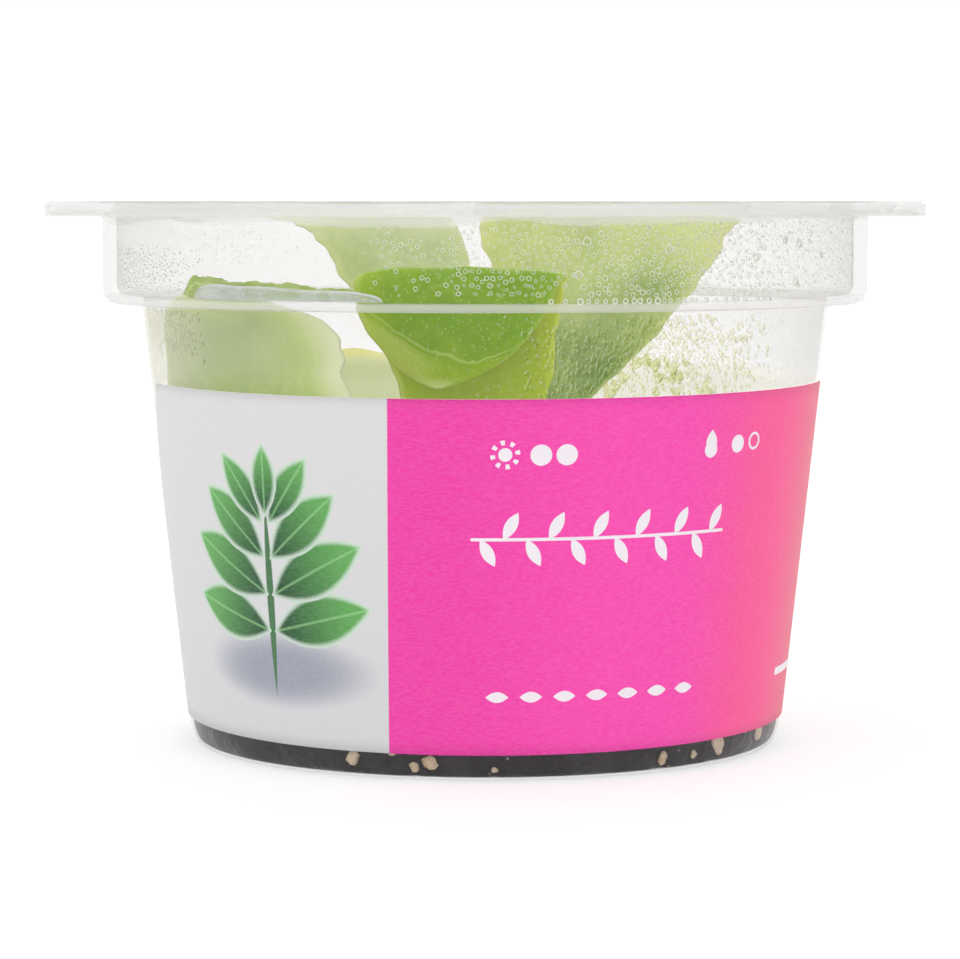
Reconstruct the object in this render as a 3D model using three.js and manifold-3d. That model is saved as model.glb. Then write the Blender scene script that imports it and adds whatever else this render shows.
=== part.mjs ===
// A butterwort rosette in a sealed, clear plastic growing cup. Millimetres, +Z up.
// The origin is the centre of the ring that the cup stands on; the front of the cup faces -Y.
import * as THREE from "three";
import { mergeVertices } from "three/addons/utils/BufferGeometryUtils.js";
import Module from "manifold-3d";

const wasm = await Module();
wasm.setup();

// ---------------------------------------------------------------- driving dimensions
const HEIGHT = 58.7; // base to top of the sealing film
const FLANGE_R = 47.5; // outer edge of the sealing flange
const FLANGE_PLATE = 0.8; // its thickness
const FLANGE_LIP = 1.65; // height of its turned-down edge, plate included
const LIP_WALL = 0.8;
const COLLAR_R = 41.35; // outside of the collar under the flange
const COLLAR_BOTTOM = 47.65; // underside of the collar's shoulder
const COLLAR_WALL = 1.5;
const SHOULDER_THICKNESS = 0.9;
const BODY_TOP = 47.05; // where the collar starts
const BODY_TOP_R = 37.02; // outside of the tapered body there
const BODY_BASE = 1.6; // where the base corner ends
const BODY_BASE_R = 32.1;
const BODY_WALL = 1.0;
const FOOT_R = 30.6; // outer edge of the flat ring that the cup stands on
const FOOT_WIDTH = 2.4;
const BASE_RECESS = 0.6; // the middle of the base is raised by this much
const FOOT_CORNER = 1.5; // radii of the moulded corners
const SHOULDER_CORNER = 1.0;
const FLOOR_CORNER = 2.0;
const EASED_EDGE = 0.3; // size of the small chamfers
const FILM_THICKNESS = 0.25;
const FILM_INSET = 0.35; // how far the film stops short of the flange's edge
const SEAM_GAP = 0.05; // between the film and the flange, and between the label and the wall
const SETTLED_GAP = 0.3; // between pieces that rest on each other
const CUP_SIDES = 48;

const LABEL_BOTTOM = 2.8;
const LABEL_TOP = 39.0;
const LABEL_THICKNESS = 0.2;
const LABEL_CORNER = 1.6; // radius of its corners
// The straight ends of the label lean on the tapered wall and leave a V-shaped gap at the back left.
const LABEL_START = { bottom: -101, top: -74.5 }; // degrees round from the front, positive towards +X
const LABEL_END = { bottom: 256, top: 236 };
const LABEL_RISE = 0.5; // how much higher the sheet stands at the sides than at the front
const LABEL_COLUMNS = 72;
const LABEL_ROWS = 6;

const SOIL_TOP = 20; // mean height of the growing medium
const SOIL_RELIEF = 0.7; // how far its lumps rise and fall
const SOIL_SIDES = 48;
const ROOT_HOLE_R = 3.15;
const ROOT_HOLE_DEPTH = 5.0;

const CROWN_PROFILE = [[2.5, 18], [2.8, 20.6], [2.5, 23], [1.8, 25.4]]; // radius and height
const CROWN_TOP = 26.6;
const CROWN_FOOT_R = 1.6;
const CROWN_SIDES = 12;
const YOUNG_LEAVES = 5;
const GOLDEN_ANGLE = 137.5; // degrees from one leaf of the heart to the next
const TIER_Z = [21.9, 23.3, 24.7]; // heights at which the three rings of leaves leave the crown
const LEAF_GAP = 0.5; // from the crown to the midrib's start
const LEAF_CENTRE = 1.0; // blade thickness at the middle
const LEAF_EDGE = 0.6; // and at the margin
const LEAF_CLEARANCE = 0.5; // from a blade's face to the wall, where it leans on it
const LEAF_GROUND = 1.6; // lowest middle surface of a blade above the mean soil
const LEAF_ROWS = 14;
const FOLDED_LEAF_ROWS = 20;
const LEAF_COLUMNS = 8;
const BEND = 1.6; // millimetres over which a blade bends along the wall or the film
const RIB_STEPS = 60; // steps of a midrib's curve
const HEADROOM = 0.8; // from the flange's top down to the highest blade

const FLANGE_TOP = HEIGHT - FILM_THICKNESS - SEAM_GAP;
const FLANGE_UNDER = FLANGE_TOP - FLANGE_PLATE;
const COLLAR_INNER = COLLAR_R - COLLAR_WALL;
const LEDGE_TOP = COLLAR_BOTTOM + SHOULDER_THICKNESS; // inside of the shoulder
const FLOOR = BASE_RECESS + BODY_WALL; // inside of the base

const UP = new THREE.Vector3(0, 0, 1);
const radians = THREE.MathUtils.degToRad;
const { lerp, clamp, smoothstep } = THREE.MathUtils;

const bodyOuter = (z) => lerp(BODY_BASE_R, BODY_TOP_R, (z - BODY_BASE) / (BODY_TOP - BODY_BASE));
const bodyInner = (z) => bodyOuter(z) - BODY_WALL;

// ---------------------------------------------------------------- shared shape helpers
/** Points of an arc in the r-z half plane, angles in degrees from +r towards +z. */
function arc(r, z, radius, from, to, steps) {
  return Array.from({ length: steps + 1 }, (_, i) => {
    const a = radians(lerp(from, to, i / steps));
    return [r + radius * Math.cos(a), z + radius * Math.sin(a)];
  });
}

/** A solid turned about Z from [r, z] points that start and end on the axis. */
function turned(points, sides) {
  const profile = points.map(([r, z]) => new THREE.Vector2(r, z));
  return new THREE.LatheGeometry(profile, sides).rotateX(Math.PI / 2);
}

function meshOf(points, faces) {
  return new THREE.BufferGeometry()
    .setAttribute("position", new THREE.Float32BufferAttribute(points.flatMap((p) => p.toArray()), 3))
    .setIndex(faces);
}

function toManifold(geometry) {
  const bare = geometry.clone();
  bare.deleteAttribute("normal");
  bare.deleteAttribute("uv");
  const merged = mergeVertices(bare, 1e-3);
  return new wasm.Manifold(
    new wasm.Mesh({
      numProp: 3,
      vertProperties: merged.attributes.position.array,
      triVerts: new Uint32Array(merged.index.array),
    }),
  );
}

function fromManifold(solid) {
  const mesh = solid.getMesh();
  const points = Array.from({ length: mesh.numVert }, (_, i) =>
    new THREE.Vector3().fromArray(mesh.vertProperties, i * mesh.numProp),
  );
  return meshOf(points, Array.from(mesh.triVerts));
}

/** A closed skin round two grids of points, [row][column]: `top` faces outwards, `bottom` lies behind it. */
function plate(top, bottom) {
  const rows = top.length;
  const columns = top[0].length;
  const id = (side, [i, j]) => (side * rows + i) * columns + j;
  const faces = [];
  const quad = (a, b, c, d) => faces.push(a, b, c, a, c, d);
  for (let i = 0; i + 1 < rows; i++)
    for (let j = 0; j + 1 < columns; j++) {
      const corners = [[i, j], [i, j + 1], [i + 1, j + 1], [i + 1, j]];
      quad(...corners.map((p) => id(0, p)));
      const [a, b, c, d] = corners.map((p) => id(1, p));
      faces.push(a, c, b, a, d, c);
    }
  const rim = [];
  for (let j = 0; j < columns; j++) rim.push([0, j]);
  for (let i = 1; i < rows; i++) rim.push([i, columns - 1]);
  for (let j = columns - 2; j >= 0; j--) rim.push([rows - 1, j]);
  for (let i = rows - 2; i > 0; i--) rim.push([i, 0]);
  rim.forEach((p, k) => {
    const q = rim[(k + 1) % rim.length];
    quad(id(0, q), id(0, p), id(1, p), id(1, q));
  });
  return meshOf([...top.flat(), ...bottom.flat()], faces);
}

// ---------------------------------------------------------------- cup and film
function cup() {
  const recessR = FOOT_R - FOOT_WIDTH;
  const lipInner = FLANGE_R - LIP_WALL;
  const lipBottom = FLANGE_TOP - FLANGE_LIP + EASED_EDGE;
  const floorCornerTop = FLOOR + FLOOR_CORNER;
  const floorCornerR = bodyInner(floorCornerTop) - FLOOR_CORNER;
  return turned(
    [
      [0, BASE_RECESS],
      [recessR - BASE_RECESS, BASE_RECESS],
      [recessR, 0],
      ...arc(FOOT_R, FOOT_CORNER, FOOT_CORNER, -90, -6, 2),
      [bodyOuter(BODY_TOP - EASED_EDGE), BODY_TOP - EASED_EDGE],
      [bodyOuter(BODY_TOP) + EASED_EDGE, COLLAR_BOTTOM - EASED_EDGE],
      [COLLAR_R - SHOULDER_CORNER, COLLAR_BOTTOM],
      ...arc(COLLAR_R - SHOULDER_CORNER, COLLAR_BOTTOM + SHOULDER_CORNER, SHOULDER_CORNER, -45, 0, 1),
      [COLLAR_R - EASED_EDGE, FLANGE_UNDER - EASED_EDGE],
      [COLLAR_R, FLANGE_UNDER],
      [lipInner, FLANGE_UNDER],
      [lipInner, lipBottom],
      [FLANGE_R, lipBottom],
      [FLANGE_R, FLANGE_TOP - EASED_EDGE],
      [FLANGE_R - EASED_EDGE, FLANGE_TOP],
      [COLLAR_INNER + EASED_EDGE, FLANGE_TOP],
      [COLLAR_INNER, FLANGE_TOP - EASED_EDGE],
      [COLLAR_INNER, LEDGE_TOP + SHOULDER_CORNER],
      [COLLAR_INNER - SHOULDER_CORNER, LEDGE_TOP],
      [bodyInner(LEDGE_TOP) + SHOULDER_CORNER / 2, LEDGE_TOP - EASED_EDGE],
      [bodyInner(LEDGE_TOP - SHOULDER_CORNER), LEDGE_TOP - SHOULDER_CORNER],
      [bodyInner(floorCornerTop), floorCornerTop],
      ...arc(floorCornerR, floorCornerTop, FLOOR_CORNER, -30, -90, 2),
      [0, FLOOR],
    ],
    CUP_SIDES,
  );
}

function sealingFilm() {
  const under = FLANGE_TOP + SEAM_GAP;
  const radius = FLANGE_R - FILM_INSET;
  return turned([[0, under], [radius, under], [radius, HEIGHT], [0, HEIGHT]], CUP_SIDES);
}

// ---------------------------------------------------------------- label
const LABEL_LENGTH = radians(LABEL_END.top - LABEL_START.top) * bodyOuter(LABEL_TOP);

/** A point `out` from the wall, u along the label from 0 to 1 and v up it from 0 to 1. */
function labelPoint(u, v, out) {
  const fromEnd = Math.min(u, 1 - u) * LABEL_LENGTH;
  const short = Math.max(0, LABEL_CORNER - fromEnd);
  const inset = LABEL_CORNER - Math.sqrt(LABEL_CORNER ** 2 - short ** 2);
  const up = lerp(LABEL_BOTTOM + inset, LABEL_TOP - inset, v);
  const height = (up - LABEL_BOTTOM) / (LABEL_TOP - LABEL_BOTTOM);
  const start = lerp(LABEL_START.bottom, LABEL_START.top, height);
  const end = lerp(LABEL_END.bottom, LABEL_END.top, height);
  const a = radians(lerp(start, end, u));
  const z = up + LABEL_RISE * (1 - Math.cos(a));
  const r = bodyOuter(z) + out;
  return new THREE.Vector3(r * Math.sin(a), -r * Math.cos(a), z);
}

function label() {
  const cornerShare = LABEL_CORNER / LABEL_LENGTH;
  const corner = [0, 0.15, 0.5].map((share) => share * cornerShare);
  const middle = Array.from({ length: LABEL_COLUMNS }, (_, i) =>
    lerp(cornerShare, 1 - cornerShare, i / (LABEL_COLUMNS - 1)),
  );
  const along = [...corner, ...middle, ...corner.map((u) => 1 - u).reverse()];
  const up = Array.from({ length: LABEL_ROWS + 1 }, (_, i) => i / LABEL_ROWS);
  // Flat sides cut inside the round, the label's as the wall's, so it stands off by their sag.
  const sag = 3 * BODY_TOP_R * (1 - Math.cos(Math.PI / LABEL_COLUMNS));
  const face = (out) => up.map((v) => along.map((u) => labelPoint(u, v, SEAM_GAP + sag + out)));
  return plate(face(LABEL_THICKNESS), face(0));
}

// ---------------------------------------------------------------- growing medium
// Each wave of the lumpy top: its share of the relief, radians per millimetre along X and Y, and phase.
const LUMPS = [
  { share: 0.4, kx: 0.31, ky: 0.22, phase: 1.3 },
  { share: 0.35, kx: 0.62, ky: -0.5, phase: 2.1 },
  { share: 0.25, kx: -0.4, ky: 0.9, phase: 0.2 },
];
const soilTop = (x, y) =>
  LUMPS.reduce(
    (z, { share, kx, ky, phase }) => z + SOIL_RELIEF * share * Math.sin(kx * x + ky * y + phase),
    SOIL_TOP,
  );

function growingMedium() {
  const floor = FLOOR + SETTLED_GAP;
  const cornerTop = floor + FLOOR_CORNER;
  const wall = (z) => bodyInner(z) - SETTLED_GAP;
  const ringShares = [0.86, 0.7, 0.54, 0.38, 0.24]; // of the top's radius
  const section = (a) => {
    const at = (r, z) => new THREE.Vector3(r * Math.cos(a), r * Math.sin(a), z);
    const topAt = (r) => at(r, soilTop(r * Math.cos(a), r * Math.sin(a)));
    const rimZ = topAt(wall(SOIL_TOP)).z;
    return [
      at(wall(cornerTop) - 1.3 * FLOOR_CORNER, floor),
      at(wall(cornerTop) - 0.4 * FLOOR_CORNER, floor + 0.4 * FLOOR_CORNER),
      at(wall(cornerTop), cornerTop),
      at(wall(rimZ), rimZ),
      ...ringShares.map((share) => topAt(share * wall(SOIL_TOP))),
      at(ROOT_HOLE_R, SOIL_TOP),
      at(ROOT_HOLE_R, SOIL_TOP - ROOT_HOLE_DEPTH),
    ];
  };
  const sections = Array.from({ length: SOIL_SIDES }, (_, i) => section((2 * Math.PI * i) / SOIL_SIDES));
  const perSection = sections[0].length;
  const underCentre = SOIL_SIDES * perSection;
  const holeCentre = underCentre + 1;
  const points = [
    ...sections.flat(),
    new THREE.Vector3(0, 0, floor),
    new THREE.Vector3(0, 0, SOIL_TOP - ROOT_HOLE_DEPTH),
  ];
  const faces = [];
  for (let i = 0; i < SOIL_SIDES; i++) {
    const [a, b] = [i * perSection, ((i + 1) % SOIL_SIDES) * perSection];
    faces.push(underCentre, b, a, holeCentre, a + perSection - 1, b + perSection - 1);
    for (let k = 0; k + 1 < perSection; k++)
      faces.push(a + k, b + k, b + k + 1, a + k, b + k + 1, a + k + 1);
  }
  return meshOf(points, faces);
}

// ---------------------------------------------------------------- leaves
/** Value at t, from 0 to 1, of a Catmull-Rom curve through evenly spaced knots. */
function knots(values, t) {
  const x = clamp(t, 0, 1) * (values.length - 1);
  const i = Math.min(Math.floor(x), values.length - 2);
  const f = x - i;
  const at = (k) => values[clamp(k, 0, values.length - 1)];
  const [a, b, c, d] = [at(i - 1), at(i), at(i + 1), at(i + 2)];
  return b + 0.5 * f * (c - a + f * (2 * a - 5 * b + 4 * c - d + f * (3 * (b - c) + d - a)));
}

/** The smaller of two values, rounded off over about `blend`. */
function softMin(a, b, blend) {
  const h = clamp(0.5 + (0.5 * (b - a)) / blend, 0, 1);
  return lerp(b, a, h) - blend * h * (1 - h);
}

/** Inside radius of the cup at a height, eased over the ledge of the collar. */
function freeRadius(z) {
  const overLedge = smoothstep(z, LEDGE_TOP + 0.5, LEDGE_TOP + 2.2);
  return lerp(bodyInner(Math.min(z, LEDGE_TOP)), COLLAR_INNER, overLedge);
}

function crownRadius(z) {
  const i = CROWN_PROFILE.findIndex(([, height]) => height > z);
  const [[r0, z0], [r1, z1]] = [CROWN_PROFILE[i - 1], CROWN_PROFILE[i]];
  return lerp(r0, r1, (z - z0) / (z1 - z0));
}

/** Width of a spoon-shaped blade as a share of its widest, t from the stalk to the tip. */
function bladeOutline(t, { stalk = 0.16, widest = 0.62, taper = 1.3, blunt = 2.4, point = 0.5 }) {
  const spread = Math.sin((Math.PI / 2) * Math.min(1, t / widest)) ** taper;
  const beyond = Math.max(0, (t - widest) / (1.02 - widest));
  return lerp(stalk, 1, spread) * (1 - beyond ** blunt) ** point;
}

/** Points of a leaf's midrib with the directions across the blade and out of its upper face. */
function midrib(leaf) {
  const { bearing, sweep = 0, late = 2, length, rise, tier = 0, lean = 0 } = leaf;
  const { startR = crownRadius(TIER_Z[tier]) + LEAF_GAP, startZ = TIER_Z[tier] } = leaf;
  let [r, z] = [startR, startZ];
  const step = length / RIB_STEPS;
  return Array.from({ length: RIB_STEPS + 1 }, (_, i) => {
    const t = i / RIB_STEPS;
    const elevation = radians(knots(rise, t));
    if (i > 0) {
      r += Math.cos(elevation) * step;
      z += Math.sin(elevation) * step;
    }
    const a = radians(bearing + sweep * t ** late);
    const out = new THREE.Vector3(Math.sin(a), -Math.cos(a), 0);
    const side = new THREE.Vector3(Math.cos(a), Math.sin(a), 0);
    const tangent = out.clone().multiplyScalar(Math.cos(elevation)).setZ(Math.sin(elevation));
    const across = side.applyAxisAngle(tangent, radians(lean * t));
    const upper = across.clone().cross(tangent);
    return { point: out.multiplyScalar(r).setZ(z), across, upper };
  });
}

/** A point of the blade's middle surface: t runs from the stalk to the tip, s across from -1 to 1. */
function bladePoint(leaf, rib, t, s) {
  const { width, trough = 0.15, wave = 0, layer = LEAF_CLEARANCE, hug = 0, fuller = [0, 0] } = leaf;
  const x = t * RIB_STEPS;
  const i = Math.min(Math.floor(x), RIB_STEPS - 1);
  const mix = (key) => rib[i][key].clone().lerp(rib[i + 1][key], x - i);
  const swell = 1 + knots(fuller, t) * Math.max(0, s);
  const half = 0.5 * width * bladeOutline(t, leaf) * swell;
  const ripple = wave * Math.abs(s) ** 3 * Math.sin(6 * Math.PI * t + (s > 0 ? 0 : 2));
  // A hugging blade bends round the cup's axis with the wall instead of lying straight across.
  const round = hug * smoothstep(t, 0.35, 0.8);
  const p = mix("point");
  const turn = (round * half * s) / Math.hypot(p.x, p.y);
  p.addScaledVector(mix("across"), (1 - round) * half * s)
    .addScaledVector(mix("upper"), half * trough * s * s + ripple * Math.min(1, 3 * t))
    .applyAxisAngle(UP, turn);
  // The blade bends against the wall, the film and the soil instead of passing through them.
  const radius = Math.hypot(p.x, p.y);
  const held = softMin(radius, freeRadius(p.z) - layer - LEAF_CENTRE / 2, BEND) / radius;
  const below = softMin(p.z, FLANGE_TOP - HEADROOM - LEAF_CENTRE / 2, BEND);
  return p.set(p.x * held, p.y * held, -softMin(-below, -SOIL_TOP - LEAF_GROUND, 1));
}

/** A leaf as a closed solid, thinner at the margin than along the midrib. */
function leafGeometry(leaf, rows, columns) {
  const rib = midrib(leaf);
  const surface = (t, s) => bladePoint(leaf, rib, clamp(t, 0, 1), clamp(s, -1, 1));
  const [dt, ds] = [0.004, 0.05]; // steps over which the blade's slope is measured
  const face = (side) =>
    Array.from({ length: rows + 1 }, (_, i) =>
      Array.from({ length: columns + 1 }, (_, j) => {
        const t = 1 - (1 - i / rows) ** 1.25; // rows lie closer towards the tip
        const s = Math.sin(Math.PI * (j / columns - 0.5)); // and columns towards the margins
        const along = surface(t + dt, s).sub(surface(t - dt, s));
        const across = surface(t, s + ds).sub(surface(t, s - ds));
        const upper = across.cross(along).normalize();
        return surface(t, s).addScaledVector(upper, 0.5 * side * lerp(LEAF_CENTRE, LEAF_EDGE, s * s));
      }),
    );
  return plate(face(1), face(-1));
}

// rise: the midrib's angle above level, in degrees, at even steps from stalk to tip. bearing: where the
// leaf points, in degrees round from the front, positive towards +X. sweep and lean turn it on its way,
// sweep the later the larger `late` is. fuller: the share by which one
// margin stands further out than the other, at even steps from stalk to tip.
const LEAVES = {
  leaf_front: {
    tier: 1, bearing: -2.2, sweep: -8, late: 4, length: 50.7, width: 22.4, trough: 0.05, layer: 0.6,
    stalk: 0.14, taper: 2.35, widest: 0.78, blunt: 2, point: 0.72,
    fuller: [0, 0, 0, 0, -0.05, -0.13, -0.08, -0.08, 0],
    rise: [38, 32, 28, 29, 45, 73, 83, 82, 66, -78, -94, -92],
  },
  leaf_left: {
    tier: 1, bearing: -65.8, sweep: 10.5, length: 48, width: 40, trough: 0.1, wave: 0.15, hug: 0.95,
    stalk: 0.085, taper: 2.5, widest: 0.66, blunt: 3.4, fuller: [0, 0, 0, 0.06, 0.16, 0.21, 0.07, 0.38],
    rise: [30, 20, 6, 8, 62, 86, 60],
  },
  leaf_back_left: {
    tier: 2, bearing: -151, sweep: 31, lean: -22, length: 49, width: 15.4, trough: 0.1,
    stalk: 0.15, widest: 0.82, blunt: 4, fuller: [0, 0, 0, 0.24, 0.36, 0.34, 0.18, -0.08],
    rise: [66, 72, 74, 70, 60, 16, 0],
  },
  leaf_back_right: {
    tier: 2, bearing: 136, lean: 34, length: 46.5, width: 29.6, trough: 0.2,
    stalk: 0.1, taper: 3, widest: 0.9, blunt: 4, fuller: [0, 0, 0, 0.05, 0.12, 0.17, 0.0, -0.06],
    rise: [59, 52, 54, 66, 76, 72, 40],
  },
  leaf_back: {
    tier: 1, bearing: -150, length: 33, width: 23, trough: 0.12, blunt: 3.4,
    rise: [44, 34, 22, 30, 50],
  },
  leaf_right: { tier: 1, bearing: 62, length: 32, width: 20, trough: 0.2, rise: [42, 28, 12, 16, 40] },
  leaf_low_front: { bearing: 26, length: 32, width: 20, rise: [20, 10, 8, 16, 50] },
  leaf_low_right: { bearing: 98, length: 34, width: 21, rise: [20, 10, 6, 18, 54] },
  leaf_low_back: { bearing: 172, length: 35, width: 22, rise: [20, 12, 8, 20, 46] },
  leaf_low_left: { bearing: -114, length: 34, width: 19.4, rise: [20, 10, 8, 22, 50] },
  leaf_low_front_left: { bearing: -36, length: 31, width: 19, rise: [20, 8, 4, 10, 30] },
};

// ---------------------------------------------------------------- crown
/** The short stem in the soil, with the youngest leaves standing in its heart. */
function crown() {
  const foot = SOIL_TOP - ROOT_HOLE_DEPTH + SETTLED_GAP;
  const stem = [[0, foot], [CROWN_FOOT_R, foot], ...CROWN_PROFILE, [0, CROWN_TOP]];
  let solid = toManifold(turned(stem, CROWN_SIDES));
  for (let i = 0; i < YOUNG_LEAVES; i++) {
    const young = {
      bearing: 6 + i * GOLDEN_ANGLE,
      length: 12 - 1.2 * i,
      width: 6.2 - 0.7 * i,
      stalk: 0.4,
      trough: 0.35,
      rise: [84, 78, 72, 64],
      startR: 0.9 - 0.1 * i,
      startZ: CROWN_TOP - 1.6 + 0.3 * i,
    };
    solid = solid.add(toManifold(leafGeometry(young, 7, 4)));
  }
  return fromManifold(solid);
}

// ---------------------------------------------------------------- assembly
const material = (color, roughness, extra = {}) =>
  new THREE.MeshStandardMaterial({ color, roughness, metalness: 0, ...extra });
const clearPlastic = material(0xf1f0ef, 0.12, { transparent: true, opacity: 0.3 });
const clearFilm = material(0xf4f4f4, 0.08, { transparent: true, opacity: 0.2 });
const printedLabel = material(0xf84db2, 0.4);
const darkMedium = material(0x2c2929, 0.95);
const leafGreen = material(0x8fb84a, 0.45);
const youngGreen = material(0xaccb62, 0.45);

const butterwort = new THREE.Group();
function add(name, geometry, finish) {
  const mesh = new THREE.Mesh(geometry, finish);
  mesh.name = name;
  butterwort.add(mesh);
}
add("cup", cup(), clearPlastic);
add("sealing_film", sealingFilm(), clearFilm);
add("label", label(), printedLabel);
add("growing_medium", growingMedium(), darkMedium);
add("crown", crown(), youngGreen);
for (const [name, leaf] of Object.entries(LEAVES)) {
  const rows = name === "leaf_front" ? FOLDED_LEAF_ROWS : LEAF_ROWS;
  add(name, leafGeometry(leaf, rows, LEAF_COLUMNS), leafGreen);
}

export default butterwort;
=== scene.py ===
"""A butterwort rosette in a sealed, clear growing cup, dressed for rendering.

Lengths are written in millimetres and turned into metres when a mesh is made; only the lights and the
camera are placed in metres. The front of the cup faces -Y; bearings are degrees round from the front,
positive towards +X.
"""

import math

import bmesh
import bpy
import numpy as np
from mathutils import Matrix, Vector, noise


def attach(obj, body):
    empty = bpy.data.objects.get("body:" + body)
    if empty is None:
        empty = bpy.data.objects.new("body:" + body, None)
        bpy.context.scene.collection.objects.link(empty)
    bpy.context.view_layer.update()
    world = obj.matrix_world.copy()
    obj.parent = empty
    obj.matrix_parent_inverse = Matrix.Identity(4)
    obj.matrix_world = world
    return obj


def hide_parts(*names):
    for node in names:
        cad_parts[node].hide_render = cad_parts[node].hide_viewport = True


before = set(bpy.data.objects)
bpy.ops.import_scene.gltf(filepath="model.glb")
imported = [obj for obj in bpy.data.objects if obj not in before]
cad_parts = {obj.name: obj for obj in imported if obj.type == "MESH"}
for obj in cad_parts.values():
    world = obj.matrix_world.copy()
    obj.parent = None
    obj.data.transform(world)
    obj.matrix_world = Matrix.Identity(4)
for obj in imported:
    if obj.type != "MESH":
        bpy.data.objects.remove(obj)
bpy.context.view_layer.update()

MM = 0.001
scene = bpy.context.scene

# ---------------------------------------------------------------- sizes, as in the solids
FLANGE_R = 47.5
FLANGE_TOP = 58.4
FLANGE_PLATE = 0.8
FLANGE_LIP = 1.65
COLLAR_R = 41.35
COLLAR_INNER = 39.85
COLLAR_BOTTOM = 47.65
LEDGE_TOP = 48.55
BODY_TOP, BODY_TOP_R = 47.05, 37.02
BODY_BASE, BODY_BASE_R = 1.6, 32.1
SOLID_WALL = 1.0
WALL = 0.28  # seen: thinner than the solid's, as a clear wall shows what touches it right to its edge
FOOT_R, FOOT_WIDTH = 30.6, 2.4
FOOT_OUT = FOOT_R + 0.9  # where the rounded edge of the foot would have its corner
FLOOR_RISE = 0.6  # how far the cup's floor stands above the ring of its foot
LABEL_BOTTOM, LABEL_TOP = 2.8, 39.0
LABEL_START = (-101, -74.5)  # bearing of the label's first edge at its foot and at its top
LABEL_END = (256, 236)
LABEL_RISE = 0.5  # how much higher the sheet stands at the sides than at the front
LABEL_PRINT_R = 34.6  # radius at which the print's millimetres are true
SOIL_TOP = 20.0
HOLE_R, HOLE_DEPTH = 3.15, 5.0  # of the hole in the mix in which the crown stands
UP = np.array([0, 0, 1.0])


def body_outer(z):
    return BODY_BASE_R + (BODY_TOP_R - BODY_BASE_R) * (z - BODY_BASE) / (BODY_TOP - BODY_BASE)


def body_inner(z):
    return body_outer(z) - WALL


def at_bearing(r, a, z):
    """Points r from the axis, at the bearing a in radians and the height z."""
    return np.stack([r * np.sin(a), -r * np.cos(a), z], -1)


def smooth(x, low, high):
    """0 below low, 1 above high and an even S between them."""
    f = np.clip((np.asarray(x, float) - low) / (high - low), 0, 1)
    return f * f * (3 - 2 * f)


# ---------------------------------------------------------------- meshes
def make_mesh(name, points, faces, uv=None, attributes=()):
    """An object at the origin from points in millimetres; uv holds one pair for each point."""
    mesh = bpy.data.meshes.new(name)
    mesh.from_pydata((np.asarray(points, float) * MM).tolist(), [], faces)
    mesh.update()
    if uv is not None:
        corner = np.empty(len(mesh.loops), dtype=np.int32)
        mesh.loops.foreach_get("vertex_index", corner)
        layer = mesh.uv_layers.new(name="map")
        layer.data.foreach_set("uv", np.asarray(uv, np.float32)[corner].ravel())
    for label, values in attributes:
        layer = mesh.attributes.new(label, "FLOAT", "POINT")
        layer.data.foreach_set("value", np.asarray(values, np.float32))
    mesh.polygons.foreach_set("use_smooth", [True] * len(mesh.polygons))
    piece = bpy.data.objects.new(name, mesh)
    scene.collection.objects.link(piece)
    return piece


def settle(piece, node=None, finishes=()):
    """Dresses a finished piece and puts it on the body, in place of a solid where it stands for one."""
    for finish in finishes:
        piece.data.materials.append(finish)
    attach(piece, "root")
    if node:
        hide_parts(node)


def grid_faces(rows, columns, closed=False, turned_over=False):
    """The faces of a grid of points, row after row; closed joins the last column to the first."""
    faces = []
    for i in range(rows - 1):
        for j in range(columns if closed else columns - 1):
            n = (j + 1) % columns
            a, b, c, d = i * columns + j, i * columns + n, (i + 1) * columns + n, (i + 1) * columns + j
            faces.append((a, d, c, b) if turned_over else (a, b, c, d))
    return faces


def facing_out(piece):
    """Turns the faces of a closed mesh outwards."""
    work = bmesh.new()
    work.from_mesh(piece.data)
    bmesh.ops.recalc_face_normals(work, faces=work.faces)
    work.to_mesh(piece.data)
    work.free()
    return piece


def rounded(corners):
    """[r, z] points along straight runs whose corners, given as (r, z, radius), are rounded off."""
    points, steps = [], 5
    for i, (r, z, radius) in enumerate(corners):
        here = np.array([r, z])
        if not radius or i in (0, len(corners) - 1):
            points.append(here)
            continue
        before = np.array(corners[i - 1][:2]) - here
        after = np.array(corners[i + 1][:2]) - here
        reach = min(radius, 0.45 * np.hypot(*before), 0.45 * np.hypot(*after))
        start = here + before / np.hypot(*before) * reach
        end = here + after / np.hypot(*after) * reach
        for k in range(steps + 1):
            f = k / steps
            points.append((1 - f) ** 2 * start + 2 * f * (1 - f) * here + f * f * end)
    return points


def turned(name, profile, sides, shift=None):
    """A closed shell turned round Z from an [r, z] profile that starts and ends on the axis."""
    points, rings, faces = [], [], []
    for r, z in profile:
        if r < 1e-6:
            rings.append([len(points)])
            points.append((0, 0, z))
            continue
        rings.append(range(len(points), len(points) + sides))
        turn = [2 * math.pi * k / sides for k in range(sides)]
        points += [(r * math.cos(a), r * math.sin(a), z) for a in turn]
    for low, high in zip(rings, rings[1:]):
        for k in range(sides):
            n = (k + 1) % sides
            if len(low) == 1:
                faces.append((low[0], high[n], high[k]))
            elif len(high) == 1:
                faces.append((low[k], low[n], high[0]))
            else:
                faces.append((low[k], low[n], high[n], high[k]))
    points = np.array(points, float)
    if shift is not None:
        points = shift(points)
    return make_mesh(name, points, faces)


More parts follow.
